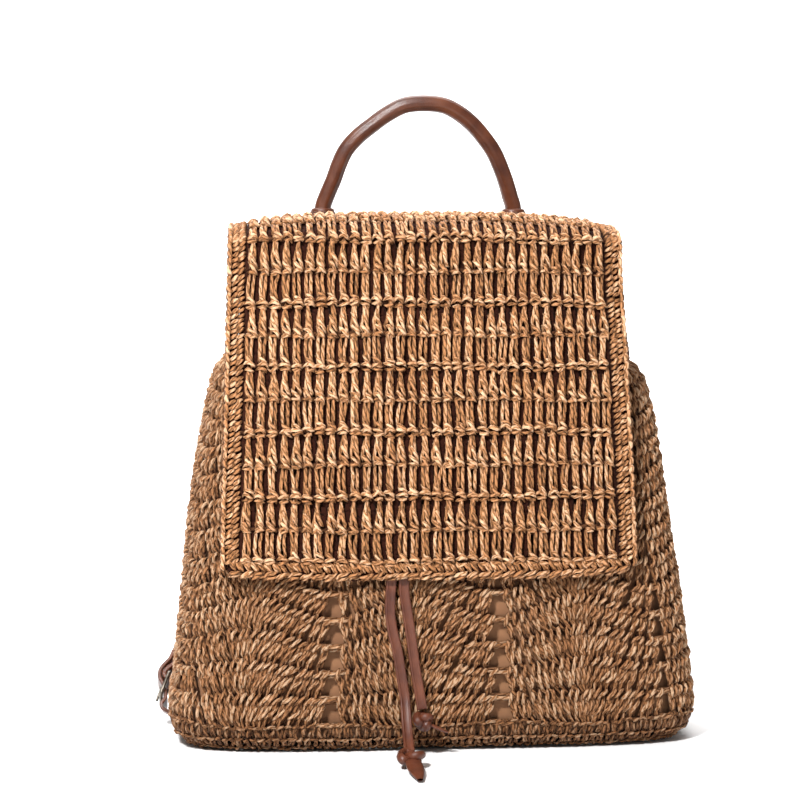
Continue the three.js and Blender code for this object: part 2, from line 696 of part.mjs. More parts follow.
add("handle_tab_right", "leather", handleTab(1));

// Free ends of the drawstring
function lacePoints(route) {
  return route.map(([x, z, off]) => new THREE.Vector3(x, -(frontAt(z) + pleatAt(z) + off), z));
}
const lace = (route) =>
  tube(lacePoints(route), LACE_WIDTH / 2, LACE_THICK / 2, 8, sideways);
add("drawstring_end_left", "leather", lace(LACE_LEFT));
add("drawstring_end_right", "leather", lace(LACE_RIGHT));

function knot({ place, size, tail }) {
  const ball = new THREE.SphereGeometry(1, 9, 6);
  ball.scale(...size);
  ball.translate(...place);
  const points = tail.map(([x, y, z]) => new THREE.Vector3(x, y, z));
  const level = (tangent) => new THREE.Vector3(0, 0, 1).cross(tangent);
  const flat = tube(points, (i) => tail[i][3], TAIL_THICK / 2, 6, level);
  return geometryOf(united([solid(ball), solid(flat)]));
}
add("knot_left", "leather", knot(KNOTS.left));
add("knot_right", "leather", knot(KNOTS.right));

// Shoulder straps. Near a buckle, places are given by u, up the strap from the buckle's middle,
// and n, out from the body.
function strapSet(side, { buckle, lean, seat, route }) {
  const middle = wallSpot(buckle.around, buckle.rise * HEEL, buckle.stand * BUCKLE_REACH);
  const u = new THREE.Vector3(...lean).normalize();
  const away = new THREE.Vector3(Math.sign(middle.x), 0, 0);
  const n = away.addScaledVector(u, -away.dot(u)).normalize();
  const w = new THREE.Vector3().crossVectors(u, n);
  const spot = (along, out) => middle.clone().addScaledVector(u, along).addScaledVector(n, out);
  const place = new THREE.Matrix4().makeBasis(w, u, n).setPosition(middle);
  const put = (geometry) => solid(geometry.applyMatrix4(place));
  const across = w.clone().multiplyScalar(Math.sign(w.y));
  const behind = new THREE.Vector3(0, 1, 0);

  const pivot = BUCKLE_REACH / 2;
  const corner = (BUCKLE_BAR / 2) * Math.SQRT2;
  const layer = corner + CLEAR + STRAP_THICK / 2;
  const returned = STRAP_THICK + CLEAR - layer;

  const seatY = backSpot(0, ANCHOR_LOW, FLAP_FACE).y;
  const lift = 1.5 * CLEAR + STRAP_THICK / 2;
  const free = route.map((row) => {
    const [x, z] = [row.across * HALF_WIDTH, row.up * MOUTH_HEIGHT];
    if (row.bow === 0) return backSpot(x, z, FLAP_FACE + lift);
    return new THREE.Vector3(x, seatY + lift + row.bow * STRAP_BOW, z);
  });
  const controls = [...free, spot(52, -layer), spot(42, -layer), spot(30, -layer)];
  const flatWidth = (i) => {
    const tangent = controls[i + 1].clone().sub(controls[Math.max(i - 1, 0)]).normalize();
    return new THREE.Vector3().crossVectors(tangent, behind).normalize();
  };
  const widths = route.map(({ turn }, i) => {
    const angle = THREE.MathUtils.degToRad(turn);
    const flat = flatWidth(i);
    flat.multiplyScalar(Math.sign(flat.dot(flatWidth(0))) || 1);
    return flat.multiplyScalar(Math.cos(angle)).addScaledVector(behind, Math.sin(angle));
  });
  widths.push(across, across, across);
  const steps = (controls.length - 1) * 2;
  const [line, twist] = [smooth(controls), smooth(widths)];
  const points = Array.from({ length: steps + 1 }, (_, i) => line.getPoint(i / steps));
  const turns = points.map((_, i) => twist.getPoint(i / steps));
  const round = Math.SQRT1_2 * layer;
  const end = [
    [22, -layer], [pivot, -layer], [pivot - round, -round], [pivot - layer, 0], [pivot - round, round],
    [pivot, layer], [pivot + 3.5, layer * 0.6], [pivot + 7, returned], [pivot + 14, returned],
  ].map(([along, out]) => spot(along, out));
  const upper = ribbon([...points, ...end], [...turns, ...end.map(() => across)], STRAP_WIDTH, STRAP_THICK);

  const foot = section(HEEL)[Math.round(seat * FINE)];
  const reach = HEEL + 2.8 * CLEAR + LOWER_THICK / 2;
  const underHeel = [54, 45].map((angle) => {
    const a = THREE.MathUtils.degToRad(angle);
    const out = reach * Math.cos(a) - HEEL;
    return new THREE.Vector3(foot.x + foot.nx * out, foot.y + foot.ny * out, HEEL - reach * Math.sin(a));
  });
  const over = layer + STRAP_THICK / 2 + CLEAR + LOWER_THICK / 2 + 0.1;
  const onReturn = returned + STRAP_THICK / 2 + CLEAR + LOWER_THICK / 2;
  const onLayer = LOWER_THICK / 2 + CLEAR + STRAP_THICK / 2 - layer;
  const tail = [
    [-13, -layer], [-pivot, -layer], [-4, -1.3], [0, 1.3], [4, over - 1.1], [pivot, over], [12, over - 0.8],
    [18, onReturn + 0.4], [24, onReturn], [28, onReturn * 0.5], [31, onLayer + 0.1], [44, onLayer],
  ].map(([along, out]) => spot(along, out));
  const hem = new THREE.Vector3(-foot.ny, foot.nx, 0);
  hem.multiplyScalar(Math.sign(hem.dot(across)) || 1);
  const bend = curveThrough([...underHeel, ...tail.slice(0, 2)], 8).slice(0, -1);
  const lowerWidths = bend.map((_, i) => hem.clone().lerp(across, i / bend.length));
  const lower = ribbon([...bend, ...tail.slice(1)], [...lowerWidths, ...tail.slice(1).map(() => across)],
    STRAP_WIDTH, LOWER_THICK);

  const inner = STRAP_WIDTH / 2 + CLEAR + 0.4;
  const rectangle = (x, y) => [[-x, -y], [x, -y], [x, y], [-x, y]].map(([a, b]) => new THREE.Vector2(a, b));
  const frame = new THREE.Shape(rectangle(inner + BUCKLE_BAR, pivot + BUCKLE_BAR / 2));
  frame.holes.push(new THREE.Path(rectangle(inner, pivot - BUCKLE_BAR / 2)));
  const ringed = new THREE.ExtrudeGeometry(frame, { depth: BUCKLE_BAR, bevelEnabled: false });
  ringed.translate(0, 0, -BUCKLE_BAR / 2);

  const rodOut = BUCKLE_BAR / 2 + CLEAR + PRONG_RADIUS;
  const prong = (extra) => {
    const wide = 2 * PRONG_RADIUS + 2 * extra;
    const [outside, hole] = [corner + CLEAR + 1.2 + extra, corner + CLEAR].map((radius, cut) => {
      const disc = new THREE.CylinderGeometry(radius, radius, wide + cut, 12);
      disc.rotateZ(Math.PI / 2);
      return disc.translate(0, pivot, 0);
    });
    const length = 2 * pivot + BUCKLE_BAR / 2 + extra;
    const rod = new THREE.CylinderGeometry(PRONG_RADIUS + extra, PRONG_RADIUS + extra, length, 8);
    rod.translate(0, pivot - length / 2, rodOut);
    const whole = united([put(outside), put(rod)]);
    return extra > 0 ? whole : cutBy(whole, [put(hole)]);
  };
  const slot = prong(CLEAR);

  const low = -layer - STRAP_THICK / 2 - CLEAR;
  const high = onLayer + LOWER_THICK / 2 + CLEAR;
  const loop = (extra, longer) => {
    const wide = STRAP_WIDTH + 2 * (CLEAR + extra);
    const box = new THREE.BoxGeometry(wide, KEEPER.wide + longer, high - low + 2 * extra);
    return put(box.translate(0, KEEPER.at, (high + low) / 2));
  };

  add(`strap_${side}`, "leather", geometryOf(cutBy(solid(upper), [slot])));
  add(`strap_base_${side}`, "leather", geometryOf(cutBy(solid(lower), [slot])));
  add(`buckle_${side}`, "metal", geometryOf(put(ringed)));
  add(`prong_${side}`, "metal", geometryOf(prong(0)));
  add(`keeper_${side}`, "leather", geometryOf(cutBy(loop(KEEPER.wall, 0), [loop(0, 1)])));
  return { points, turns };
}

// The patch over the top ends of the straps, hollowed for them
function strapAnchor(ends) {
  const patch = sheet(4, 3, (i, j, face) => {
    const z = ANCHOR_LOW + (ANCHOR.high * j) / 3;
    const thick = STRAP_THICK + 2 * CLEAR + ANCHOR.skin;
    return backSpot(ANCHOR.half * (i / 2 - 1), z, FLAP_FACE + CLEAR + (face > 0 ? thick : 0));
  });
  const tools = ends.map(({ points, turns }) => {
    const kept = points.slice(0, 7);
    const first = kept[0].clone().addScaledVector(kept[1].clone().sub(kept[0]).normalize(), -CLEAR);
    const line = [first, ...kept.slice(1)];
    return solid(ribbon(line, turns.slice(0, 7), STRAP_WIDTH + 2 * CLEAR, STRAP_THICK + 2 * CLEAR));
  });
  return geometryOf(cutBy(solid(patch), tools));
}
const strapEnds = Object.entries(STRAPS).map(([side, spec]) => strapSet(side, spec));
add("strap_anchor", "leather", strapAnchor(strapEnds));

export default bag;
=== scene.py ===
"""Looks of a crocheted straw backpack: every stitch is made of strands laid on the body and the flap."""

import math

import bpy
import numpy as np
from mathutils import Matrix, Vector

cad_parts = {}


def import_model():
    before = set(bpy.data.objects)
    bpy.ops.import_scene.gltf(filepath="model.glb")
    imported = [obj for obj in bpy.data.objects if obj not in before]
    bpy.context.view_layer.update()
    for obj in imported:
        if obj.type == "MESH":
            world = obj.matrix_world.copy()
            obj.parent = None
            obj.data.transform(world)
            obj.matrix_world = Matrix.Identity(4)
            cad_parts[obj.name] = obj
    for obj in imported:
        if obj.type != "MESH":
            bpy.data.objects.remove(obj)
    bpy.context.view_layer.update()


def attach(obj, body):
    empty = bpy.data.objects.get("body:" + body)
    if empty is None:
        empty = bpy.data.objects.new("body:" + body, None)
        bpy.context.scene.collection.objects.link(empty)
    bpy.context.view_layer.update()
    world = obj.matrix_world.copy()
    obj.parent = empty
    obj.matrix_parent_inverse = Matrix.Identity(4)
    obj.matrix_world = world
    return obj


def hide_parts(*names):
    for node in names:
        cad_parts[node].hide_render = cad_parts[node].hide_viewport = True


MM = 0.001
rng = np.random.default_rng(11)
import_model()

# Sizes of the bag in millimetres, as in the part's source
CLEAR = 0.35
HALF_WIDTH = 155
HALF_DEPTH = 65
MOUTH_HEIGHT = 290
HEEL = 18
WALL = 4
PLEATS = 12
PLEAT_DEPTH = 4.5
FLAP_WALL = 4.5
FLAP_HALF = 119
FLAP_CENTRE = -4
FLAP_CREST = 310.5
FLAP_HEM = 100
FLAP_BORDER = 10.5
FLAP_BEND = 7
FLAP_RIB = 0.8
HEM_LIFT = 3
LACE_WIDTH = 6
LACE_THICK = 3.2
CORD_RADIUS = 1.7
HANDLE_RADIUS = 5
HANDLE_SPAN = 119
HANDLE_HEIGHT = 78
HANDLE_FOOT = 302
HANDLE_LEAN = 12
HANDLE_CENTRE = 2
FLAT_FALL = 0.3
TAB_THICK = 2.6
TAB_WIDTH = 34
TAB_HEIGHT = 38
COLLAR_HEIGHT = 13
COLLAR_WALL = 1.9
STRAP_WIDTH = 15
STRAP_THICK = 2.6
LOWER_THICK = 2.2
BUCKLE_BAR = 2.2
BUCKLE_REACH = 16
PRONG_RADIUS = 1.1
FLAP_ROOT = 0.875
FLAP_TURN = 1.005
NECK = 0.945
LINING_TOP = 0.885

# Body sections: up, left, right, front, back, square, gather
BODY = np.array([
    (0.0, 0.982, 1.01, 0.985, 0.985, 4.2, 0),
    (0.052, 0.987, 1.016, 0.99, 0.99, 4.2, 0),
    (0.155, 0.963, 0.998, 1.0, 1.0, 4.0, 0),
    (0.307, 0.933, 0.962, 0.975, 0.985, 3.8, 0),
    (0.483, 0.9, 0.913, 0.92, 0.95, 3.6, 0),
    (0.617, 0.862, 0.878, 0.86, 0.91, 3.5, 0),
    (0.719, 0.822, 0.838, 0.79, 0.87, 3.4, 0.04),
    (0.755, 0.798, 0.805, 0.765, 0.855, 3.3, 0.12),
    (0.786, 0.745, 0.715, 0.735, 0.84, 3.2, 0.35),
    (0.822, 0.68, 0.67, 0.69, 0.81, 3.1, 0.7),
    (0.876, 0.635, 0.635, 0.61, 0.75, 3.0, 1),
    (0.945, 0.61, 0.61, 0.54, 0.68, 3.0, 1),
    (1.0, 0.63, 0.63, 0.565, 0.7, 3.0, 0.8),
])
LEFT, RIGHT, FRONT, BACK, SQUARE, GATHER = 1, 2, 3, 4, 5, 6
FLAP_OUTLINE = np.array([
    (0, 1.0), (0.08, 0.995), (0.3, 0.975), (0.6, 0.95), (0.78, 0.935), (0.86, 0.915), (1, 0.9),
])


def column(rows, at, key):
    """A table's column between its rows, as a smooth curve through them."""
    at = np.asarray(at, float)
    keys, values = rows[:, 0], rows[:, key]
    last = len(keys) - 1
    i = np.clip(np.searchsorted(keys, at, side="left") - 1, 0, last - 1)
    before = np.maximum(np.arange(last + 1) - 1, 0)
    after = np.minimum(np.arange(last + 1) + 1, last)
    slope = (values[after] - values[before]) / (keys[after] - keys[before])
    run = keys[i + 1] - keys[i]
    t = np.clip((at - keys[i]) / run, 0, 1)
    return ((2 * t**3 - 3 * t**2 + 1) * values[i] + (t**3 - 2 * t**2 + t) * run * slope[i]
            + (3 * t**2 - 2 * t**3) * values[i + 1] + (t**3 - t**2) * run * slope[i + 1])


def body_at(z, key):
    return column(BODY, np.asarray(z) / MOUTH_HEIGHT, key)


def front_at(z):
    return body_at(z, FRONT) * HALF_DEPTH


def back_at(z):
    return body_at(z, BACK) * HALF_DEPTH


def pleat_at(z):
    return body_at(z, GATHER) * PLEAT_DEPTH


# The body's outer face as a grid: height by way round, from the front centre towards +X
FINE = 384
LEVELS = 146
LEVEL_STEP = MOUTH_HEIGHT / (LEVELS - 1)


def quarter(wide, deep, square, count):
    a = np.linspace(0, math.pi / 2, count * 3 + 1)
    x = wide * np.sin(a) ** (2 / square)
    y = deep * np.cos(a).clip(0) ** (2 / square)
    run = np.concatenate([[0], np.cumsum(np.hypot(np.diff(x), np.diff(y)))])
    want = np.linspace(0, run[-1], count + 1)
    return np.stack([np.interp(want, run, x), np.interp(want, run, y)], axis=1)


def one_section(z):
    each = FINE // 4
    square = float(body_at(z, SQUARE))
    left, right = float(body_at(z, LEFT)) * HALF_WIDTH, float(body_at(z, RIGHT)) * HALF_WIDTH
    front, back = float(front_at(z)), float(back_at(z))
    points = np.concatenate([
        quarter(right, front, square, each)[:-1] * (1, -1),
        quarter(right, back, square, each)[1:][::-1],
        quarter(left, back, square, each)[:-1] * (-1, 1),
        quarter(left, front, square, each)[1:][::-1] * (-1, -1),
    ])
    d = np.roll(points, -2, axis=0) - np.roll(points, 2, axis=0)
    d /= np.linalg.norm(d, axis=1, keepdims=True)
    return np.concatenate([points, d[:, 1:], -d[:, :1]], axis=1)


GRID = np.stack([one_section(i * LEVEL_STEP) for i in range(LEVELS)])
GIRTH = np.linalg.norm(GRID[:, :, :2] - np.roll(GRID[:, :, :2], 1, axis=1), axis=2).sum(axis=1)


def section(around, z):
    """x, y and outward normal of the body's outer face, for arrays of places round it and heights."""
    zi = np.clip(np.asarray(z, float) / LEVEL_STEP, 0, LEVELS - 1.001)
    ui = (np.asarray(around, float) % 1) * FINE
    i, j = zi.astype(int), ui.astype(int) % FINE
    f, g = (zi - i)[..., None], (ui - ui.astype(int))[..., None]
    k = (j + 1) % FINE
    return ((GRID[i, j] * (1 - g) + GRID[i, k] * g) * (1 - f)
            + (GRID[i + 1, j] * (1 - g) + GRID[i + 1, k] * g) * f)


HEEL_RUN = HEEL * math.pi / 2
FLOOR_GAP = 1.1


def girth(t):
    return np.interp(np.maximum(t - HEEL_RUN + HEEL, 0), np.arange(LEVELS) * LEVEL_STEP, GIRTH)


def body_point(around, t, out):
    """Place and normal on the body: way round, mm up its profile from the floor edge, mm off its face."""
    around, t, out = np.broadcast_arrays(*(np.asarray(v, float) for v in (around, t, out)))
    angle = np.clip(t / HEEL, 0, math.pi / 2)
    z = HEEL * (1 - np.cos(angle)) + np.maximum(t - HEEL_RUN, 0)
    inset = HEEL * (1 - np.sin(angle)) + np.maximum(-t, 0)
    x, y, nx, ny = np.moveaxis(section(around, z), -1, 0)
    wave = pleat_at(z) * np.cos(2 * math.pi * PLEATS * around)
    level = np.sin(angle)
    off = wave - inset + out * level
    place = np.stack([x + nx * off, y + ny * off, np.maximum(z - out * np.cos(angle), FLOOR_GAP)], axis=-1)
    normal = np.stack([nx * level, ny * level, -np.cos(angle)], axis=-1)
    return place, normal


# The flap's middle surface in the side view, from the hem up the front and over to the back
def flap_spine():
    turn = FLAP_TURN * MOUTH_HEIGHT
    lace_space = LACE_THICK + 1

    def behind(z):
        return back_at(z) + pleat_at(z) + 2 * CLEAR + FLAP_WALL / 2

    def before(z):
        return -(front_at(z) + pleat_at(z) + lace_space + FLAP_WALL / 2)

    yb, yf = float(behind(turn)), float(before(turn))
    rise = FLAP_CREST - FLAP_WALL / 2 - turn
    steps = 40
    z = FLAP_HEM + (turn - FLAP_HEM) * np.arange(steps) / steps
    path = [np.stack([before(z), z], axis=1)]
    a = math.pi * np.arange(steps + 1) / steps
    c, s = np.cos(a), np.sin(a)
    path.append(np.stack([(yb + yf) / 2 - (yb - yf) / 2 * np.sign(c) * np.abs(c) ** 0.85,
                          turn + rise * s.clip(0) ** 0.85], axis=1))
    z = turn + (FLAP_ROOT * MOUTH_HEIGHT - turn) * np.arange(1, 9) / 8
    path.append(np.stack([behind(z), z], axis=1))
    return np.concatenate(path)


SPINE = flap_spine()
SPINE_RUN = np.concatenate([[0], np.cumsum(np.hypot(*np.diff(SPINE, axis=0).T))])
FLAP_LENGTH = SPINE_RUN[-1]
SPINE_SLOPE = np.gradient(SPINE, SPINE_RUN, axis=0)
SPINE_SLOPE /= np.linalg.norm(SPINE_SLOPE, axis=1, keepdims=True)


def flap_half(along):
    return column(FLAP_OUTLINE, np.asarray(along) / FLAP_LENGTH, 1) * FLAP_HALF


def flap_point(x, along, out):
    """Place and normal on the flap: mm from its centre line, mm from the hem, mm off its middle surface."""
    x, along, out = np.broadcast_arrays(*(np.asarray(v, float) for v in (x, along, out)))
    half = flap_half(along)
    share = np.abs(x) / half
    lift = HEM_LIFT * share**4 * np.maximum(0, 1 - along / (3 * FLAP_BORDER))
    at = along + lift
    beyond = np.minimum(at, 0)
    y = np.interp(at, SPINE_RUN, SPINE[:, 0])
    z = np.interp(at, SPINE_RUN, SPINE[:, 1]) + beyond
    dy = np.interp(at, SPINE_RUN, SPINE_SLOPE[:, 0])
    dz = np.interp(at, SPINE_RUN, SPINE_SLOPE[:, 1])
    off = out - FLAP_BEND * share**3.5
    place = np.stack([FLAP_CENTRE + x, y - dz * off, z + dy * off], axis=-1)
    tilt = FLAP_BEND * 3.5 * share**2.5 / half * np.sign(x)
    normal = np.stack([tilt, -dz, dy], axis=-1)
    return place, normal / np.linalg.norm(normal, axis=-1, keepdims=True)


# Meshes
def mesh_object(name, verts, quads, uv=None, tone=None):
    """verts in mm. uv: one pair per vertex. tone: a colour per vertex, of random tone, depth in the work for
    painted shade, and painted shade.
    """
    mesh = bpy.data.meshes.new(name)
    verts = np.asarray(verts, np.float32) * MM
    quads = np.asarray(quads, np.int32)
    corners = quads.shape[1]
    mesh.vertices.add(len(verts))
    mesh.vertices.foreach_set("co", verts.ravel())
    mesh.loops.add(quads.size)
    mesh.loops.foreach_set("vertex_index", quads.ravel())
    mesh.polygons.add(len(quads))
    mesh.polygons.foreach_set("loop_start", np.arange(0, quads.size, corners, dtype=np.int32))
    mesh.polygons.foreach_set("loop_total", np.full(len(quads), corners, np.int32))
    mesh.update(calc_edges=True)
    mesh.polygons.foreach_set("use_smooth", np.ones(len(quads), bool))
    if uv is not None:
        layer = mesh.uv_layers.new(name="strand")
        layer.data.foreach_set("uv", np.asarray(uv, np.float32)[quads.ravel()].ravel())
    if tone is not None:
        colour = mesh.color_attributes.new("tone", "FLOAT_COLOR", "POINT")
        rgba = np.concatenate([tone, np.ones((len(tone), 1))], axis=1).astype(np.float32)
        colour.data.foreach_set("color", rgba.ravel())
    mesh.validate()
    piece = bpy.data.objects.new(name, mesh)
    bpy.context.scene.collection.objects.link(piece)
    return piece


def unit(v):
    return v / np.maximum(np.linalg.norm(v, axis=-1, keepdims=True), 1e-9)


def ring_quads(rings, sides, closed=False):
    """The faces between rings of points one after another; closed joins the last ring to the first."""
    k, m = np.meshgrid(np.arange(rings if closed else rings - 1), np.arange(sides), indexing="ij")
    k2, m2 = (k + 1) % rings, (m + 1) % sides
    corners = [k * sides + m, k2 * sides + m, k2 * sides + m2, k * sides + m2]
    return np.stack(corners, axis=-1).reshape(-1, 4)


TURNED = [0, 3, 2, 1]


def cap_quads(start, sides, order):
    """The faces that close a ring of points that is numbered from start."""
    ring = list(range(start, start + sides))[::order]
    return [(ring[i], ring[i + 1], ring[sides - 2 - i], ring[sides - 1 - i]) for i in range(sides // 2 - 1)]


def join(parts):
    """One set of vertices, faces, uv and vertex data from several."""
    starts = np.cumsum([0] + [len(part[0]) for part in parts])
    quads = np.concatenate([part[1] + start for part, start in zip(parts, starts)])
    verts, uv, data = (np.concatenate([part[i] for part in parts]) for i in (0, 2, 3))
    return verts, quads, uv, data


def tubes(lines, normals, radius, flat=1.0, sides=5, closed=False):
    """Sweeps tubes along n lines of K points. Returns verts, quads, uv and each vertex's strand number."""
    lines = np.asarray(lines, float)
    n, count = lines.shape[:2]
    if closed:
        tangent = unit(np.roll(lines, -1, axis=1) - np.roll(lines, 1, axis=1))
    else:
        tangent = unit(np.gradient(lines, axis=1))
    side = unit(np.cross(tangent, normals))
    up = np.cross(side, tangent)
    angle = 2 * math.pi * (np.arange(sides) + 0.5) / sides
    radius = np.broadcast_to(np.asarray(radius, float), (n, count))[..., None, None]
    ring = (np.cos(angle)[:, None] * side[:, :, None, :]
            + flat * np.sin(angle)[:, None] * up[:, :, None, :])
    verts = (lines[:, :, None, :] + radius * ring).reshape(-1, 3)
    quads = (np.arange(n)[:, None, None] * count * sides + ring_quads(count, sides, closed)).reshape(-1, 4)
    step = np.linalg.norm(np.diff(lines, axis=1), axis=2)
    run = np.concatenate([np.zeros((n, 1)), np.cumsum(step, axis=1)], axis=1)
    uv = np.stack(np.broadcast_arrays(np.abs(np.linspace(-1, 1, sides + 1)[:-1])[None, None, :],
                                      run[:, :, None] / 10), axis=-1).reshape(-1, 2)
    return verts, quads, uv, np.repeat(np.arange(n), count * sides)


class Strands:
    """Collects strands, each given by its points on a surface, and makes one mesh of them."""

    def __init__(self, surface, sink, deep, proud, light=1.0):
        self.surface = surface
        self.sink = sink
        self.deep = deep
        self.proud = proud
        self.light = light
        self.parts = []

    def add(self, a, b, c, radius, flat=0.85, sides=5, ends=0.35, tone=0.5, spread=0.3, shade=1.0):
        """a, b, c: arrays (n, K) of surface coordinates. ends: share of the radius, in mm, at both ends."""
        lines, normals = self.surface(a, b, c - self.sink)
        n, count = lines.shape[:2]
        place = np.abs(np.linspace(-1, 1, count))
        taper = 1 - (1 - ends) * place**3
        size = radius * rng.uniform(0.9, 1.1, (n, 1)) * taper
        verts, quads, uv, strand = tubes(lines, normals, size, flat, sides)
        tones = np.clip(tone + spread * rng.uniform(-1, 1, n), 0, 1)
        uv[:, 1] += rng.uniform(0, 50, n)[strand]
        # How high each point stands in the work, from deep to proud, for painted shade in the crevices
        rise = np.sin(2 * math.pi * (np.arange(sides) + 0.5) / sides)
        height = c[:, :, None] + size[:, :, None] * flat * rise
        depth = np.clip((height - self.deep) / (self.proud - self.deep), 0, 1).ravel()
        # Painted shade of each strand, times light, the painted shade of the whole piece
        shades = np.broadcast_to(np.asarray(shade, float) * self.light, n)
        self.parts.append((verts, quads, uv, np.stack([tones[strand], depth, shades[strand]], axis=1)))

    def build(self, name):
        return mesh_object(name, *join(self.parts))


def smoother(controls, points):
    """The weights that take a row of control points to a smooth line of more points through them."""
    weights = np.zeros((points, controls))
    for k, s in enumerate(np.linspace(0, controls - 1, points)):
        i = min(int(s), controls - 2)
        t = s - i
        basis = (-0.5 * t + t**2 - 0.5 * t**3, 1 - 2.5 * t**2 + 1.5 * t**3,
                 0.5 * t + 2 * t**2 - 1.5 * t**3, -0.5 * t**2 + 0.5 * t**3)
        for offset, w in zip((-1, 0, 1, 2), basis):
            weights[k, min(max(i + offset, 0), controls - 1)] += w
    return weights


def template(points, n, jitter, count):
    """n copies of a short line of control points, each a little different, smoothed to count points."""
    controls = np.asarray(points, float)[None] + rng.normal(0, 1, (n, len(points), 3)) * jitter
    return np.einsum("kc,ncd->nkd", smoother(len(points), count), controls)


# Materials
class Look:
    """A procedural material in the making."""

    def __init__(self, name):
        self.mat = bpy.data.materials.new(name)
        self.mat.use_nodes = True
        self.nodes = self.mat.node_tree.nodes
        self.inputs = self.nodes["Principled BSDF"].inputs

    def feed(self, socket, value):
        """Gives an input another node's output, or a number or colour."""
        if isinstance(value, bpy.types.NodeSocket):
            self.mat.node_tree.links.new(value, socket)
        else:
            socket.default_value = value

    def add(self, kind, inputs, **settings):
        """Adds a node with its settings and its inputs by name, and gives its outputs."""
        node = self.nodes.new("ShaderNode" + kind)
        for key, value in settings.items():
            setattr(node, key, value)
        for key, value in inputs.items():
            self.feed(node.inputs[key], value)
        return node.outputs

    def place(self):
        return self.add("TexCoord", {})["Object"]

    def noise(self, place, scale, **inputs):
        return self.add("TexNoise", {"Scale": scale, "Vector": place, **inputs})["Fac"]

    def maths(self, operation, *values):
        """A math node whose inputs are other nodes' outputs or numbers."""
        node = self.nodes.new("ShaderNodeMath")
        node.operation = operation
        for socket, value in zip(node.inputs, values):
            self.feed(socket, value)
        return node.outputs[0]

    def ramp(self, value, stops):
        node = self.nodes.new("ShaderNodeValToRGB")
        elements = node.color_ramp.elements
        while len(elements) < len(stops):
            elements.new(0.5)
        for element, (place, colour) in zip(elements, stops):
            element.position = place
            element.color = (*colour, 1)
        self.feed(node.inputs["Fac"], value)
        return node.outputs["Color"]

    def colour(self, value, dark_at, dark, light_at, light):
        self.feed(self.inputs["Base Color"], self.ramp(value, [(dark_at, dark), (light_at, light)]))

    def roughen(self, value, low, high):
        spread = self.add("MapRange", {"To Min": low, "To Max": high, "Value": value})
        self.feed(self.inputs["Roughness"], spread["Result"])

    def bump(self, height, strength, distance):
        bump = self.add("Bump", {"Strength": strength, "Distance": distance, "Height": height})
        self.feed(self.inputs["Normal"], bump["Normal"])


def straw_material():
    """Twisted paper straw: slanting creases along each strand, tone by strand, and painted shade in the
    creases, deep in the work and on strands given a low shade.
    """
    look = Look("straw")
    look.inputs["Specular IOR Level"].default_value = 0.22
    data = look.add("VertexColor", {}, layer_name="tone")["Color"]
    tone, depth, shade = look.add("SeparateColor", {"Color": data})
    uv = look.add("UVMap", {}, uv_map="strand")["UV"]
    axes = look.add("SeparateXYZ", {"Vector": uv})
    turn = look.maths("MULTIPLY", axes["Y"], 11.0)
    turn = look.maths("MULTIPLY_ADD", axes["X"], 7.0, turn)
    turn = look.maths("MULTIPLY_ADD", look.noise(uv, 2.2), 9.0, turn)
    wave = look.maths("SINE", turn)
    crease = look.maths("POWER", look.maths("MULTIPLY_ADD", wave, 0.5, 0.5), 2.5)
    stretch = look.add("Mapping", {"Scale": (9.0, 2.5, 1.0), "Vector": uv})["Vector"]
    fibre = look.noise(stretch, 2.0, Detail=2.0)
    mix = look.maths("MULTIPLY_ADD", tone, 0.60, 0.03)
    mix = look.maths("MULTIPLY_ADD", fibre, 0.42, mix)
    # The colour is darker along the creases: painted shade in them.
    mix = look.maths("MULTIPLY_ADD", crease, -0.42, mix)
    straw = look.ramp(mix, [(0.0, (0.13, 0.052, 0.020)), (0.25, (0.33, 0.150, 0.058)),
                            (0.5, (0.62, 0.272, 0.108)), (0.78, (0.98, 0.63, 0.38))])
    # Painted shade: darker where the strand lies deep in the work, and where its shade value is low
    dim = look.add("MapRange", {"From Min": 0.22, "Value": depth}, interpolation_type="SMOOTHSTEP")["Result"]
    dim = look.maths("MULTIPLY", dim, shade)
    # The colour of the painted shade deep in the work
    deep = (0.030, 0.005, 0.0004, 1)
    straw_with_painted_shade = look.add("Mix", {"A": deep, "Factor": dim, "B": straw}, data_type="RGBA")["Result"]
    look.feed(look.inputs["Base Color"], straw_with_painted_shade)
    look.feed(look.inputs["Roughness"], look.maths("MULTIPLY_ADD", dim, -0.5, 0.92))
    look.bump(look.maths("MULTIPLY_ADD", crease, -1.0, fibre), 0.9, 0.0011)
    return look.mat


def cloth_material():
    look = Look("lining_cloth")
    look.inputs["Roughness"].default_value = 0.85
    look.inputs["Sheen Weight"].default_value = 0.2
    place = look.place()
    # The cloth's own tan, darkened as painted shade for the shadow it lies in behind the crochet
    look.colour(look.noise(place, 18.0), 0.3, (0.19, 0.082, 0.034), 0.7, (0.27, 0.125, 0.054))
    look.bump(look.noise(place, 1500.0), 0.3, 0.0003)
    return look.mat


def leather_material(name, dark, light, grain, roughness):
    """Smooth leather: pores from cells, paler worn patches, and roughness that follows the patches."""
    look = Look(name)
    place = look.place()
    patches = look.noise(place, 90.0, Detail=4.0)
    look.colour(patches, 0.3, dark, 0.7, light)
    look.roughen(patches, roughness - 0.08, roughness + 0.12)
    look.bump(look.add("TexVoronoi", {"Scale": grain, "Vector": place})["Distance"], 0.35, 0.0003)
    return look.mat


def metal_material():
    look = Look("buckle_metal")
    look.inputs["Metallic"].default_value = 1.0
    tarnish = look.noise(look.place(), 260.0)
    look.colour(tarnish, 0.35, (0.10, 0.085, 0.07), 0.7, (0.26, 0.22, 0.18))
    look.roughen(tarnish, 0.25, 0.5)
    return look.mat


def thread_material():
    look = Look("thread")
    look.inputs["Roughness"].default_value = 0.6
    look.colour(look.noise(look.place(), 900.0), 0.3, (0.10, 0.045, 0.025), 0.7, (0.20, 0.10, 0.055))
    return look.mat


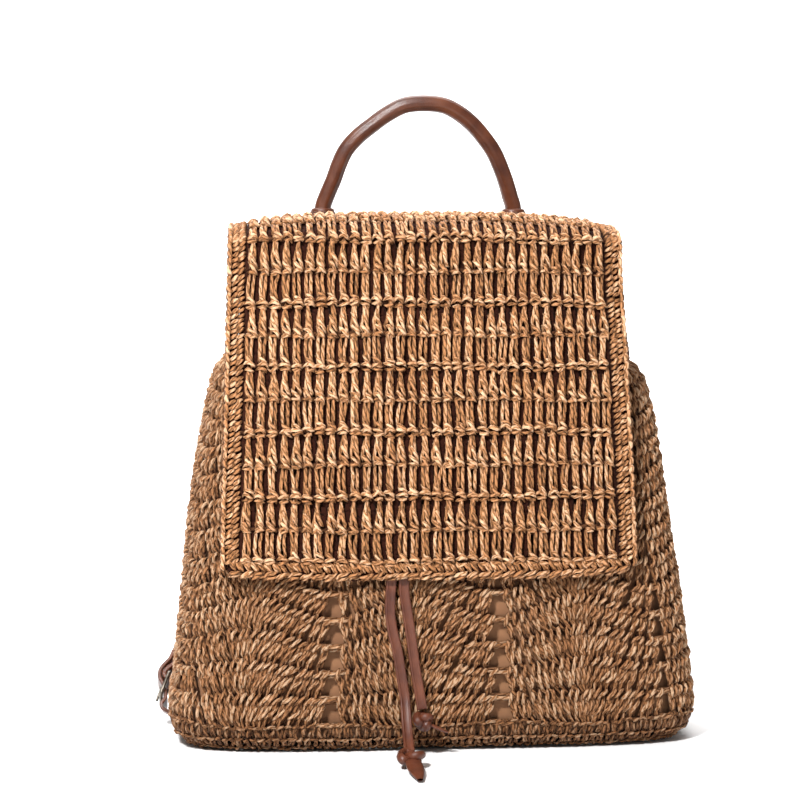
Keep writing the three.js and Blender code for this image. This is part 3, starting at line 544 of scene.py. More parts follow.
STRAW = straw_material()
CLOTH = cloth_material()
LEATHER = leather_material("strap_leather", (0.050, 0.011, 0.0038), (0.120, 0.033, 0.0115), 1400.0, 0.38)
SOFT = leather_material("lace_leather", (0.058, 0.012, 0.004), (0.130, 0.034, 0.0125), 1700.0, 0.44)
METAL = metal_material()
THREAD = thread_material()


def dress(piece, mat, slot, *nodes):
    """Gives a new piece its material and its body, and hides the CAD nodes that it stands for. slot is not
    used.
    """
    piece.data.materials.append(mat)
    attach(piece, "root")
    if nodes:
        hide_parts(*nodes)
    return piece


# Body stitches. Fans spread from columns of nodes and meet at columns of gaps.
FANS = 8
GAP_PHASE = 0.0465
FAN_STITCHES = 22
HEEL_LEVELS = [0.5, 8.5, 17.0]
CLOSED_GAP = 0.6
HIDDEN_FROM = 6
RIM_LEAVES = 132
# Heights of the row boundaries at the gap columns, and how much higher they are at the fans' nodes
ROW_LOW = [17, 32, 47, 62, 77, 92, 108, 124, 140, 156, 172, 188, 204, 220, 236, 252, 267, 281]
ROW_RISE = [-2, 2, 6, 9.5, 12, 13, 13, 13, 13, 13, 12, 11, 10, 8, 6, 4, 3, 2]
TOP_LEVEL = 289
# Half width of the gap at each gap column, from the front right one round by the back
GAP_HALF = [6.4, 3.4, 4.4, 5.2, 5.2, 4.4, 3.4, 6.4]
GAP_ROWS = 5
SPREAD_AT = [0, 0.25, 0.6, 1.0]
SPREAD_TO = [0, 0.11, 0.45, 1.0]
BODY_SINK = 2.4
# Painted shade: the body's straw darker than the flap's, and the heel rows darker still
BODY_SHADE = 0.66
HEEL_SHADE = 0.8
REAR_FANS = (3, 4, 5, 6)
FLAP_SINK = 0.9
# The flap shades the body above this height and this far in from its own edge, over a soft margin
SHADE_LOW = 104
SHADE_INSET = 4
SHADE_ASIDE = 8
SHADE_ABOVE = 10
SHADE_DEPTH = 0.7


def profile_of(z):
    """Distance up the profile of a height."""
    z = np.asarray(z, float)
    low = HEEL * np.arccos(np.clip(1 - z / HEEL, -1, 1))
    return np.where(z < HEEL, low, z - HEEL + HEEL_RUN)


def boundary(k, phase):
    """Profile distance of row boundary k at a phase of the fan, 0 at its nodes and 1 or -1 at the gaps."""
    low = np.array([*ROW_LOW, TOP_LEVEL])[k]
    rise = np.array([*ROW_RISE, 0])[k]
    return profile_of(low + rise * (0.5 + 0.5 * np.cos(math.pi * np.clip(phase, -1, 1))))


def body_shade(around, t):
    """How light the straw is at the middle of each strand: painted shadow where the flap covers it."""
    mid = body_point(around[:, around.shape[1] // 2], t[:, t.shape[1] // 2], 0)[0]
    height = mid[:, 2] - SHADE_LOW
    margin = flap_half(np.clip(height, 0, FLAP_LENGTH)) - np.abs(mid[:, 0] - FLAP_CENTRE)
    aside = np.clip((margin - SHADE_INSET) / SHADE_ASIDE, 0, 1)
    above = np.clip((height - SHADE_INSET) / SHADE_ABOVE, 0, 1)
    return 1 - SHADE_DEPTH * (aside * above * (mid[:, 1] < 0))


def body_row(strands, fan, k):
    """The stitches of one fan between boundaries k and k + 1."""
    node = GAP_PHASE - 0.5 / FANS + fan / FANS
    t_mid = float(boundary(k, 0.5) + boundary(k + 1, 0.5)) / 2
    half = girth(t_mid) / FANS / 2
    open_row = k < GAP_ROWS
    gap_left = GAP_HALF[(fan - 1) % FANS] if open_row else CLOSED_GAP
    gap_right = GAP_HALF[fan % FANS] if open_row else CLOSED_GAP
    n = FAN_STITCHES
    share = (np.arange(n) + 0.5) / n * 2 - 1 + rng.normal(0, 0.012, n)
    edge = np.where(share < 0, gap_left, gap_right) / half
    top = share * (1 - 0.3 * edge)
    foot = np.sign(share) * np.interp(np.abs(share), SPREAD_AT, SPREAD_TO) * (1 - edge)
    f_t, t_t = boundary(k, foot), boundary(k + 1, top)
    hidden = fan == 0 and k >= HIDDEN_FROM
    sides = 4 if hidden or fan in REAR_FANS else 5
    foot_mm, top_mm = foot * half, top * half
    d = np.stack([top_mm - foot_mm, t_t - f_t], axis=1)
    long = np.linalg.norm(d, axis=1)
    ahead = d / long[:, None]
    across = np.stack([ahead[:, 1], -ahead[:, 0]], axis=1)

    def put(points, jitter, count, radius, tone=0.5, ends=0.35):
        line = template(points, n, jitter, count)
        along = line[..., 0] * long[:, None]
        aside = line[..., 1]
        mm = foot_mm[:, None] + ahead[:, None, 0] * along + across[:, None, 0] * aside
        t = f_t[:, None] + ahead[:, None, 1] * along + across[:, None, 1] * aside
        around = node + mm / (half * 2 * FANS)
        strands.add(around, t, line[..., 2], radius, 0.9, sides, ends, tone, shade=body_shade(around, t))

    shake = (0.035, 0.34, 0.32)
    count = 5 if hidden else 6
    put([(-0.06, -0.5, -0.8), (0.2, -1.1, 0.7), (0.5, -1.15, 1.1), (0.8, -0.9, 1.0), (1.06, 0.1, -0.5)],
        shake, count, 1.06, tone=0.5)
    put([(-0.02, 0.8, -0.8), (0.25, 1.2, 0.6), (0.55, 0.95, 1.3), (0.85, 0.9, 0.7), (1.1, 1.3, -0.4)],
        shake, count, 1.06, tone=0.4)
    if hidden:
        return
    put([(0.16, -1.9, 0.0), (0.34, -0.9, 2.5), (0.56, 0.7, 2.8), (0.76, 2.0, 0.4)], shake, 5, 1.08, tone=0.72)
    put([(0.66, -2.3, 0.2), (0.84, -1.1, 2.9), (1.0, 0.6, 2.9), (1.1, 2.0, 0.2)], shake, 5, 1.16, tone=0.75)
    put([(-0.16, 1.0, -0.6), (-0.02, -0.1, 1.0), (0.2, -0.8, 1.9), (0.36, -0.4, 0.4)],
        shake, 4, 0.9, tone=0.4)


def gap_bars(strands, fan, k):
    """The bare chain of strands that crosses under a gap."""
    gap = GAP_PHASE + fan / FANS
    t = float(boundary(k, 1.0))
    ring = girth(t)
    reach = GAP_HALF[fan % FANS] + 3.2
    for sag, lift, out, size in ((-0.8, 1.6, 0.5, 1.0), (0.5, 0.6, 1.5, 1.1), (1.8, -0.2, 0.4, 1.0)):
        ends = [(side * reach, lift, -0.2) for side in (-1, 1)]
        points = [ends[0], (-reach / 2, -sag, out), (reach / 2, -sag * 0.9, out), ends[1]]
        line = template(points, 1, (0.3, 0.3, 0.2), 9)
        strands.add(gap + line[..., 0] / ring, t + line[..., 1], line[..., 2], size, sides=6, tone=0.6)


def low_rows(strands, fan):
    """Short plain rows round the heel, between the floor and the first fans."""
    levels = HEEL_LEVELS
    n = FAN_STITCHES
    for i, low in enumerate(levels):
        u = GAP_PHASE - 1 / FANS + (fan + (np.arange(n) + 0.5 + 0.5 * (i % 2)) / n) / FANS
        phase = ((u - GAP_PHASE + 0.5 / FANS) * FANS * 2 + 1) % 2 - 1
        top_row = i == len(levels) - 1
        top = boundary(0, phase) if top_row else np.full(n, levels[i + 1])
        ring = float(girth(low))
        for points, size, tone in (
            ([(-1.2, -0.1, 0.0), (-0.9, 0.35, 1.1), (-0.3, 0.75, 1.1), (0.6, 1.12, 0.0)], 1.1, 0.5),
            ([(0.9, -0.1, 0.0), (1.0, 0.3, 1.0), (0.8, 0.7, 1.4), (1.2, 1.1, 0.1)], 1.1, 0.4),
            ([(-2.4, 0.9, 0.2), (-0.8, 1.02, 1.9), (1.0, 1.06, 1.9), (2.6, 0.96, 0.2)], 1.1, 0.6),
        ):
            line = template(points, n, (0.6, 0.07, 0.35), 5)
            t = low + line[..., 1] * (top - low)[:, None]
            around = u[:, None] + line[..., 0] / ring
            strands.add(around, t, line[..., 2], size, sides=4, tone=tone, shade=HEEL_SHADE)


def rim(strands):
    """The chain of leaves round the mouth."""
    n = RIM_LEAVES
    u = (np.arange(n) + 0.5) / n
    t = float(profile_of(TOP_LEVEL))
    ring = float(girth(t))
    for points in ([(-3.4, -0.8, 0.6), (-1.2, 0.2, 1.6), (1.4, 0.6, 1.2), (3.4, 0, 0)],
                   [(-3.4, -0.6, -3.4), (-1.2, 0.4, -4.0), (1.4, 0.6, -3.8), (3.4, 0, -3.2)]):
        line = template(points, n, (0.2, 0.2, 0.2), 6)
        strands.add(u[:, None] + line[..., 0] / ring, t + line[..., 1], line[..., 2], 1.25, tone=0.6)


def base_rings(strands):
    """Plain rounds of strands under the base."""
    u = np.linspace(0, 1, 97)[None]
    for inset in np.arange(1.5, 44, 3.0):
        wobble = 0.4 * np.sin(u * 2 * math.pi * 70)
        strands.add(u, np.full_like(u, -inset) + wobble, np.full_like(u, -1.0), 1.55, 0.55, 4, 1.0, 0.4)


SECTORS = {"crochet_front": (0, 1), "crochet_right": (2, 3), "crochet_back": (4, 5), "crochet_left": (6, 7)}
for name, fans in SECTORS.items():
    strands = Strands(body_point, BODY_SINK, -1.0, 2.2, BODY_SHADE)
    for fan in fans:
        for k in range(len(ROW_LOW)):
            body_row(strands, fan, k)
        for k in range(GAP_ROWS + 1):
            gap_bars(strands, fan, k)
        low_rows(strands, fan)
    dress(strands.build(name), STRAW, "straw", "crochet_body")
strands = Strands(body_point, BODY_SINK, -1.0, 2.2, BODY_SHADE)
rim(strands)
base_rings(strands)
dress(strands.build("crochet_rim_and_base"), STRAW, "straw", "crochet_body")


# Flap stitches: upright posts in rows, plain rows and rows of slanting posts by turns
FLAP_ROWS = 18
FLAP_POSTS = 32
POST_WIDTH = 7.7
CROSS_STRANDS = 9
# Strands behind the work, painted dark as shade: wide ones between the posts, thin ones across, and those
# under the border
PLY = {"radius": 3.0, "flat": 0.3, "sides": 4, "ends": 0.9, "tone": 0.2, "shade": 0.12}
CROSS = {"radius": 1.6, "flat": 0.6, "sides": 4, "ends": 0.9, "tone": 0.3, "shade": 0.6}
BACKING = {"radius": 2.1, "flat": 0.5, "sides": 4, "ends": 0.9, "tone": 0.3, "shade": 0.2}
BACKING_OUT = -0.9
SIDE_PITCH = 3.1
CHAIN_PITCH = 4.6
HEM_PITCH = 4.0
HEM_CHAIN_PITCH = 6.6
FIELD_LENGTH = FLAP_LENGTH - FLAP_BORDER - CLEAR
# Stitches of both kinds of row: control points, number of points, radius and tone
OPEN_ROW = [
    ([(-0.3, -0.06, -0.3), (-1.9, 0.2, 1.1), (-1.5, 0.5, 1.8), (-2.0, 0.8, 1.3), (-0.3, 1.05, -0.4)],
     6, 1.14, 0.6),
    ([(0.9, -0.06, -0.4), (1.5, 0.2, 0.9), (0.7, 0.5, 1.9), (1.5, 0.8, 1.2), (0.8, 1.05, -0.4)],
     6, 1.14, 0.45),
    ([(-2.6, 0.30, 0.2), (-0.6, 0.17, 2.6), (1.5, 0.09, 2.6), (3.2, -0.02, 0.4)], 5, 1.12, 0.7),
    ([(-4.0, -0.01, 0.3), (-1.6, 0.045, 2.8), (1.2, 0.02, 2.9), (3.8, -0.07, 0.3)], 5, 1.22, 0.78),
    ([(-3.4, -0.1, 0.0), (-1.0, -0.13, 2.1), (1.4, -0.1, 2.1), (3.4, -0.16, 0.0)], 5, 1.12, 0.55),
    ([(-2.8, 0.9, 0.2), (-0.5, 0.97, 2.2), (2.4, 0.92, 0.3)], 4, 1.1, 0.6),
]
SLANT_ROW = [
    ([(-1.6, -0.05, -0.3), (-2.1, 0.22, 1.3), (-1.2, 0.5, 1.8), (-0.3, 0.82, 1.5), (0.0, 1.04, 0.0)],
     6, 1.14, 0.55),
    ([(2.4, -0.03, -0.3), (1.6, 0.22, 1.1), (1.1, 0.5, 1.5), (0.6, 0.82, 1.2), (0.5, 1.02, 0.0)],
     6, 1.14, 0.45),
    ([(-1.9, 0.66, 0.3), (-0.4, 0.44, 2.6), (1.4, 0.22, 2.7), (3.2, 0.02, 0.3)], 5, 1.14, 0.72),
    ([(-2.8, 0.26, 0.3), (-0.8, 0.13, 2.7), (1.4, 0.0, 2.7), (3.4, -0.12, 0.3)], 5, 1.2, 0.76),
    ([(-3.6, -0.05, 0.1), (0.0, -0.05, 2.0), (3.6, -0.07, 0.1)], 4, 1.1, 0.5),
]


def flap_rows(strands):
    for row in range(FLAP_ROWS):
        low = FLAP_BORDER + CLEAR + FIELD_LENGTH * row / FLAP_ROWS
        high = low + FIELD_LENGTH / FLAP_ROWS
        n = FLAP_POSTS
        half = float(flap_half((low + high) / 2)) - FLAP_BORDER
        place = ((np.arange(n) + 0.5) / n * 2 - 1) * half + rng.normal(0, 0.28, n)
        lean = rng.normal(-0.25, 0.45, n)
        swing = 0.7 * np.sin(place / 17 + row * 1.3)
        scale = half * 2 / n / POST_WIDTH
        for points, count, size, tone in OPEN_ROW if row % 2 == 0 else SLANT_ROW:
            line = template(points, n, (0.46, 0.035, 0.32), count)
            x = place[:, None] + line[..., 0] * scale - lean[:, None] * (line[..., 1] - 0.5)
            along = low + (high - low) * line[..., 1] + swing[:, None]
            strands.add(x, along, line[..., 2], size, ends=0.4, tone=tone, spread=0.28)
        # Strands behind the posts and across them, painted dark as shade
        place = (np.arange(n + 1) / n * 2 - 1) * half
        points = [(0, -0.05, -1.6), (0.3, 0.3, -1.3), (-0.2, 0.7, -1.3), (0, 1.05, -1.6)]
        line = template(points, n + 1, (0.4, 0.02, 0.1), 5)
        strands.add(place[:, None] + line[..., 0], low + (high - low) * line[..., 1], line[..., 2], **PLY)
        m = CROSS_STRANDS
        place = ((np.arange(m) + 0.5) / m * 2 - 1) * half
        reach = half / m * 1.15
        points = [(-1, 0, -0.5), (-0.3, 0.4, -0.2), (0.3, -0.4, -0.2), (1, 0, -0.5)]
        line = template(points, m, (0.02, 0.3, 0.1), 5)
        strands.add(place[:, None] + line[..., 0] * reach, low + line[..., 1], line[..., 2], **CROSS)


def flap_border(strands):
    """The worked edge: slanting strands beside a chain of leaves, down both sides and along the hem."""
    slant = [(0, 0, -0.2), (0.35, 0.3, 1.5), (0.7, 0.65, 1.6), (1, 1, 0.0)]
    for side in (-1, 1):
        n = int((FLAP_LENGTH - 10) / SIDE_PITCH)
        along = 8 + SIDE_PITCH * np.arange(n) + rng.normal(0, 0.2, n)
        edge = flap_half(along)
        for inner, outer, rise, size, tone in ((9.8, 5.2, 3.4, 1.15, 0.5), (6.4, 1.8, 3.0, 1.15, 0.6)):
            line = template(slant, n, (0.05, 0.08, 0.2), 6)
            across = line[..., 0] if side > 0 else 1 - line[..., 0]
            x = side * (edge[:, None] - inner + (inner - outer) * across)
            strands.add(x, along[:, None] + rise * line[..., 1], line[..., 2], size, tone=tone)
        m = int((FLAP_LENGTH - 10) / CHAIN_PITCH)
        along = 7 + CHAIN_PITCH * np.arange(m) + rng.normal(0, 0.2, m)
        edge = flap_half(along)
        for points, size, tone in (
            ([(1.9, -2.9, 0.2), (0.9, -1.2, 1.9), (0.6, 1.2, 1.9), (1.6, 3.2, 0.1)], 1.3, 0.65),
            ([(0.5, -2.6, -0.6), (0.3, -0.8, 0.3), (0.2, 1.2, 0.2), (0.7, 2.8, -0.8)], 1.25, 0.4),
        ):
            line = template(points, m, (0.15, 0.2, 0.2), 6)
            x = side * (edge[:, None] - line[..., 0])
            strands.add(x, along[:, None] + line[..., 1], line[..., 2], size, tone=tone)
        # Strands under the border, painted dark as shade
        along = np.linspace(4, FLAP_LENGTH - 9, 40)[None]
        for inner in (2.2, 5.2, 8.4, 11.2, 14.0):
            strands.add(side * (flap_half(along) - inner), along, np.full_like(along, BACKING_OUT), **BACKING)
    reach = float(flap_half(0)) - 4.5
    # Strands under the hem, painted dark as shade
    for inner in (3, 6, 9):
        x = np.linspace(-reach, reach, 30)[None]
        strands.add(x, np.full_like(x, inner), np.full_like(x, BACKING_OUT), **BACKING)
    for pitch, shift, shake, count, stitches in (
        (HEM_PITCH, 0.25, (0.2, 0.25, 0.2), 6, [
            ([(-1.8, 10.6, 0.2), (-1.1, 8.8, 1.8), (0.2, 6.4, 1.9), (1.4, 4.2, 0.6)], 1.15, 0.55),
            ([(0.2, 10.2, 0.0), (0.8, 8.2, 1.3), (1.8, 5.8, 1.4), (2.7, 4.0, 0.3)], 1.05, 0.4)]),
        (HEM_CHAIN_PITCH, 0, (0.35, 0.45, 0.3), 7, [
            ([(-4.2, 1.2, 0.4), (-1.8, 2.8, 2.4), (1.2, 3.4, 2.4), (3.8, 4.6, 0.6)], 1.2, 0.62),
            ([(-3.8, -0.2, 0.0), (-1.2, 1.1, 1.3), (1.6, 1.7, 1.4), (4.0, 2.5, 0.2)], 1.15, 0.5),
            ([(-4.2, 1.0, -2.2), (0, 1.6, -2.6), (4.4, 2.2, -2.2)], 1.3, 0.4)]),
    ):
        n = int(2 * reach / pitch)
        place = (np.arange(n) + 0.5) / n * 2 * reach - reach
        if shift:
            place += rng.normal(0, shift, n)
        for points, size, tone in stitches:
            line = template(points, n, shake, count)
            strands.add(place[:, None] + line[..., 0], line[..., 1], line[..., 2], size, tone=tone)


field = Strands(flap_point, FLAP_SINK, -1.2, 2.4)
flap_rows(field)
dress(field.build("flap_stitches"), STRAW, "straw", "flap")
border = Strands(flap_point, FLAP_SINK, -1.2, 2.4)
flap_border(border)
dress(border.build("flap_edge_stitches"), STRAW, "straw", "flap_edging")


# Lining
def lining_piece():
    rows, count = 44, 160
    t = np.linspace(-40, float(profile_of(LINING_TOP * MOUTH_HEIGHT)), rows)[:, None]
    u = (np.arange(count) / count)[None, :]
    u, t = np.broadcast_arrays(u, t)
    z = np.maximum(t - HEEL_RUN + HEEL, 0)
    smooth = -(1 + np.cos(2 * math.pi * PLEATS * u)) * pleat_at(z)
    crease = 0.5 * np.sin(u * 61 + np.sin(t / 21) * 2) * np.sin(t / 17 + 3 * np.sin(u * 19))
    verts, _ = body_point(u, t, smooth - WALL - 2 * CLEAR - 1.0 + crease)
    verts = verts.reshape(-1, 3)
    return mesh_object("lining_cloth", verts, ring_quads(rows, count)[:, TURNED])


lining = dress(lining_piece(), CLOTH, "lining_cloth", "lining")


# Leather and metal
BEHIND = np.array((0, 1.0, 0))


def round_tube(name, points, normal, radius, flat=1.0, sides=20, closed=False):
    return mesh_object(name, *tubes(np.asarray(points, float)[None], normal, radius, flat, sides, closed)[:3])


def catmull(points, per_span):
    """The smooth curve through points that the part's source uses, as per_span points for each span."""
    p = [np.asarray(v, float) for v in points]
    ends = [2 * p[0] - p[1], *p, 2 * p[-1] - p[-2]]
    out = []
    for i in range(1, len(ends) - 2):
        a, b, c, d = ends[i - 1:i + 3]
        ta, tb, tc = (max(np.linalg.norm(w - v) ** 0.5, 1e-4) for v, w in ((a, b), (b, c), (c, d)))
        ta, tc = (tb if ta < 1e-3 else ta), (tb if tc < 1e-3 else tc)
        mb = ((b - a) / ta - (c - a) / (ta + tb) + (c - b) / tb) * tb
        mc = ((c - b) / tb - (d - b) / (tb + tc) + (d - c) / tc) * tb
        for s in np.arange(per_span) / per_span:
            out.append((2 * s**3 - 3 * s**2 + 1) * b + (s**3 - 2 * s**2 + s) * mb
                       + (3 * s**2 - 2 * s**3) * c + (s**3 - s**2) * mc)
    out.append(p[-1])
    return np.array(out)


def run_along(points):
    """The distance of each point of a line from its start."""
    return np.concatenate([[0], np.cumsum(np.linalg.norm(np.diff(points, axis=0), axis=1))])


def at_run(want, run, values):
    """Values given at the points of a line, read at other distances along it."""
    return np.stack([np.interp(want, run, values[:, i]) for i in range(3)], axis=-1)


def spaced(points, count):
    """count points evenly spaced along a line of points."""
    points = np.asarray(points, float)
    run = run_along(points)
    return at_run(np.linspace(0, run[-1], count), run, points)


STRAP_SECTION = np.array([
    (-1, -0.55), (-0.93, -1), (-0.5, -1), (0, -1), (0.5, -1), (0.93, -1), (1, -0.55), (1, 0.55),
    (0.93, 1), (0.5, 1), (0, 1), (-0.5, 1), (-0.93, 1), (-1, 0.55),
])


def strap_mesh(name, points, widths, wide, thick, section=STRAP_SECTION, closed=False):
    """Sweeps a flat section along points with a given direction of width at each."""
    points, widths = np.asarray(points, float), np.asarray(widths, float)
    if closed:
        tangent = unit(np.roll(points, -1, axis=0) - np.roll(points, 1, axis=0))
    else:
        tangent = unit(np.gradient(points, axis=0))
    side = unit(widths - (widths * tangent).sum(axis=1, keepdims=True) * tangent)
    up = np.cross(tangent, side)
    a, b = section[:, 0] * wide / 2, section[:, 1] * thick / 2
    verts = points[:, None] + side[:, None] * a[None, :, None] + up[:, None] * b[None, :, None]
    n, m = len(points), len(section)
    quads = ring_quads(n, m, closed)
    flat = verts.reshape(-1, 3)
    if not closed:
        quads = np.concatenate([quads, cap_quads(0, m, 1), cap_quads((n - 1) * m, m, -1)])
    piece = mesh_object(name, flat, quads)
    bevel = piece.modifiers.new("edge", "BEVEL")
    bevel.width = 0.0002
    bevel.segments = 2
    bevel.limit_method = "ANGLE"
    return piece, side, up


THREAD_RADIUS = 0.32
THREAD_ARCH = np.array([-0.25, 0.12, 0.2, 0.12, -0.25])


def sew(name, points, up, spacing=3.3, long=2.3):
    """A row of sewn stitches along a line, standing a little off the leather."""
    up = np.broadcast_to(up, points.shape)
    run = run_along(points)
    n = max(int(run[-1] / spacing), 1)
    starts = (np.arange(n) + 0.5) * run[-1] / n - long / 2
    at = starts[:, None] + np.linspace(0, long, len(THREAD_ARCH))[None]
    lift = at_run(at, run, up)
    line = at_run(at, run, points) + lift * THREAD_ARCH[None, :, None]
    dress(mesh_object(name, *tubes(line, lift, THREAD_RADIUS)[:3]), THREAD, "leather")


# Arch of the handle: shares of half its span right and left, of its height, and of its lean
HANDLE = [
    (1, 1, 0, 0), (1, 1, 0.17, 0), (0.96, 0.956, 0.27, 0.1), (0.909, 0.889, 0.39, 0.25),
    (0.844, 0.834, 0.51, 0.4), (0.771, 0.766, 0.62, 0.55), (0.674, 0.655, 0.72, 0.7),
    (0.556, 0.494, 0.82, 0.83), (0.408, 0.326, 0.91, 0.93), (0.227, 0.141, 0.975, 1),
]
TAB_TOP = HANDLE_FOOT + COLLAR_HEIGHT - 3
TAB_LOW = TAB_TOP - TAB_HEIGHT


def back_spot(x, z, out):
    """A point on the part of the flap that lies on the back, at a height."""
    run = SPINE_RUN[::-1][:len(SPINE_RUN) // 2]
    heights = SPINE[::-1][:len(SPINE_RUN) // 2, 1]
    along = np.interp(z, heights, run)
    return flap_point(x - FLAP_CENTRE, along, out)[0]


TAB_INNER = HANDLE_SPAN / 2 - TAB_WIDTH / 2
BACK_FACE = max(float(back_spot(HANDLE_CENTRE - TAB_INNER, z, FLAP_WALL / 2)[1])
                for z in [TAB_LOW + (FLAP_TURN * MOUTH_HEIGHT - TAB_LOW) * t for t in (0, 0.5, 1)])
TAB_FACE = BACK_FACE + FLAT_FALL + CLEAR
FOOT_DEPTH = TAB_FACE + TAB_THICK + HANDLE_RADIUS + CLEAR


def handle_line(count):
    """Points along the middle of the handle, from its right foot over to its left."""
    def leg(side, i):
        return [(HANDLE_CENTRE + side * row[i] * HANDLE_SPAN / 2, FOOT_DEPTH - row[3] * HANDLE_LEAN,
                 HANDLE_FOOT + row[2] * HANDLE_HEIGHT) for row in HANDLE]

    return spaced(catmull([*leg(1, 0), *leg(-1, 1)[::-1]], 12), count)


def handle_piece():
    line = handle_line(120)
    sides = 32
    tangent = unit(np.gradient(line, axis=0))
    side = unit(np.cross(tangent, BEHIND))
    up = np.cross(side, tangent)
    angle = 2 * math.pi * np.arange(sides) / sides
    run = np.linspace(0, 1, len(line))[:, None]
    grooves = ((0.5, 4.4, 0.16), (0.3, 5.5, 0.12))
    seam, fold = (depth * np.exp(-((angle - at) / wide) ** 2) for depth, at, wide in grooves)
    crease = 0.1 * np.sin(angle * 9 + 1.6 * np.sin(run * 21)) + 0.05 * np.sin(angle * 15 + 9 * run)
    radius = HANDLE_RADIUS - (seam + fold) + crease
    ring = np.cos(angle)[None, :, None] * side[:, None] + np.sin(angle)[None, :, None] * up[:, None]
    verts = line[:, None] + radius[..., None] * ring
    return mesh_object("handle_roll", verts.reshape(-1, 3), ring_quads(len(line), sides))


dress(handle_piece(), LEATHER, "leather", "handle")


def arcs(corners, steps):
    """Points round an outline's corners, each given by its centre, radius and first angle."""
    return np.array([(x + r * math.cos(a), y + r * math.sin(a)) for x, y, r, first in corners
                     for a in np.radians(np.linspace(first, first + 90, steps))])


def rounded_box(wide, tall, r, steps):
    """A rectangle's outline with rounded corners, from its half width and half height."""
    return arcs([(wide - r, tall - r, r, 0), (r - wide, tall - r, r, 90),
                 (r - wide, r - tall, r, 180), (wide - r, r - tall, r, 270)], steps)


def tab_outline(grow):
    """The patch's outline in x and z about its own centre line, grown or shrunk."""
    half, low, high = TAB_WIDTH / 2, 5, TAB_WIDTH / 2 * 0.55
    return arcs([(half - low, TAB_LOW + low, low + grow, -90),
                 (half - high, TAB_TOP - high, high + grow, 0),
                 (high - half, TAB_TOP - high, high + grow, 90),
                 (low - half, TAB_LOW + low, low + grow, 180)], 7)


def tab_piece(side, name):
    x = HANDLE_CENTRE + side * HANDLE_SPAN / 2
    top = TAB_FACE + TAB_THICK

    def flat_line(grow, y):
        outline = tab_outline(grow)
        return np.stack([outline[:, 0] + x, np.full(len(outline), y), outline[:, 1]], axis=1)

    rings = [flat_line(grow, y) for grow, y in (
        (0, TAB_FACE), (0, top - 0.6), (-0.6, top), (-2.0, top - 0.15), (-2.6, top))]
    m = len(rings[0])
    verts = np.concatenate(rings)
    quads = ring_quads(len(rings), m)[:, TURNED]
    quads = np.concatenate([quads, cap_quads((len(rings) - 1) * m, m, 1), cap_quads(0, m, -1)])
    dress(mesh_object(f"handle_patch_{name}", verts, quads), LEATHER, "leather", f"handle_tab_{name}")
    line = flat_line(-3.2, top)
    line = np.concatenate([line, line[:1]])
    sew(f"handle_patch_thread_{name}", line, BEHIND)
    n = 24
    z = np.linspace(HANDLE_FOOT - 1, HANDLE_FOOT + COLLAR_HEIGHT, n)
    swell = 0.25 * np.sin(np.linspace(0, math.pi, n))
    bulge = COLLAR_WALL + CLEAR + swell - 0.9 * (np.abs(np.linspace(-1, 1, n)) ** 12)
    line = np.stack([np.full(n, x), np.full(n, FOOT_DEPTH), z], axis=1)
    sleeve = round_tube(f"handle_sleeve_{name}", line, (0, 1, 0), (HANDLE_RADIUS + bulge)[None], 1.0, 28)
    dress(sleeve, LEATHER, "leather", f"handle_tab_{name}")
    angle = np.linspace(0, 2 * math.pi, 41)
    for i, level in enumerate((HANDLE_FOOT + 1.6, HANDLE_FOOT + COLLAR_HEIGHT - 2.4)):
        reach = HANDLE_RADIUS + COLLAR_WALL + CLEAR + 0.1
        out = np.stack([np.cos(angle), np.sin(angle), 0 * angle], axis=1)
        ring = out * reach + (x, FOOT_DEPTH, level)
        sew(f"handle_sleeve_thread_{name}_{i}", ring, out, 3.0, 2.0)


for name, side in (("left", -1), ("right", 1)):
    tab_piece(side, name)

# Free ends of the drawstring: x, height, and distance off the front of the body
LACES = {
    "left": [
        (-5, 277.5, 2.2), (-6, 262, 2.1), (-9, 240, 2.1), (-13, 215, 2.1), (-17.5, 190, 2.1),
        (-21, 165, 2.1), (-24, 140, 2.1), (-26, 118, 2.1), (-26.8, 99, 2.4), (-27.6, 82, 3.0),
        (-26, 70, 3.4), (-23.6, 60, 3.8), (-21.4, 46, 4.4), (-19.6, 33.5, 5.8), (-19.2, 22, 11.5),
        (-19.1, 13, 20), (-19.2, 7.4, 30.2)],
    "right": [
        (5, 277.5, 2.2), (4.4, 262, 2.1), (2, 240, 2.1), (-2, 215, 2.1), (-7, 190, 2.1),
        (-11.5, 165, 2.1), (-15.3, 140, 2.1), (-18, 118, 2.1), (-19.6, 96, 2.4), (-17.8, 82, 2.8),
        (-15.8, 68, 3.2), (-13.4, 50, 4.0), (-11, 35, 5.2), (-9.7, 26.8, 6.0)],
}
# Knots: centre, half size, and the tail's points with its half width at each
KNOTS = {
    "left": ((-19.2, -102, 5.7), (9.2, 7.8, 5.5), [
        (-18.6, -108, 4.6, 4.6), (-18.4, -117, 3.4, 4.8), (-18.2, -125, 2.7, 4.2),
        (-18.1, -133, 2.3, 3.0), (-18.2, -141, 1.9, 1.6)]),
    "right": ((-9.3, -71.8, 20.4), (6.7, 5.5, 6.2), [
        (-6, -72, 18.4, 2.6), (-2.2, -71.8, 16.6, 2.6), (1.4, -71.2, 14.8, 2.4), (4.8, -70.6, 13.4, 1.6)]),
}
# Outline of a lace: two piped edges with a flat between them
LACE_SECTION = np.array([
    (-1, 0), (-0.93, -0.75), (-0.7, -1), (-0.45, -0.62), (-0.15, -0.55), (0.15, -0.55),
    (0.45, -0.62), (0.7, -1), (0.93, -0.75), (1, 0), (0.93, 0.75), (0.7, 1), (0.45, 0.62),
    (0.15, 0.55), (-0.15, 0.55), (-0.45, 0.62), (-0.7, 1), (-0.93, 0.75),
])


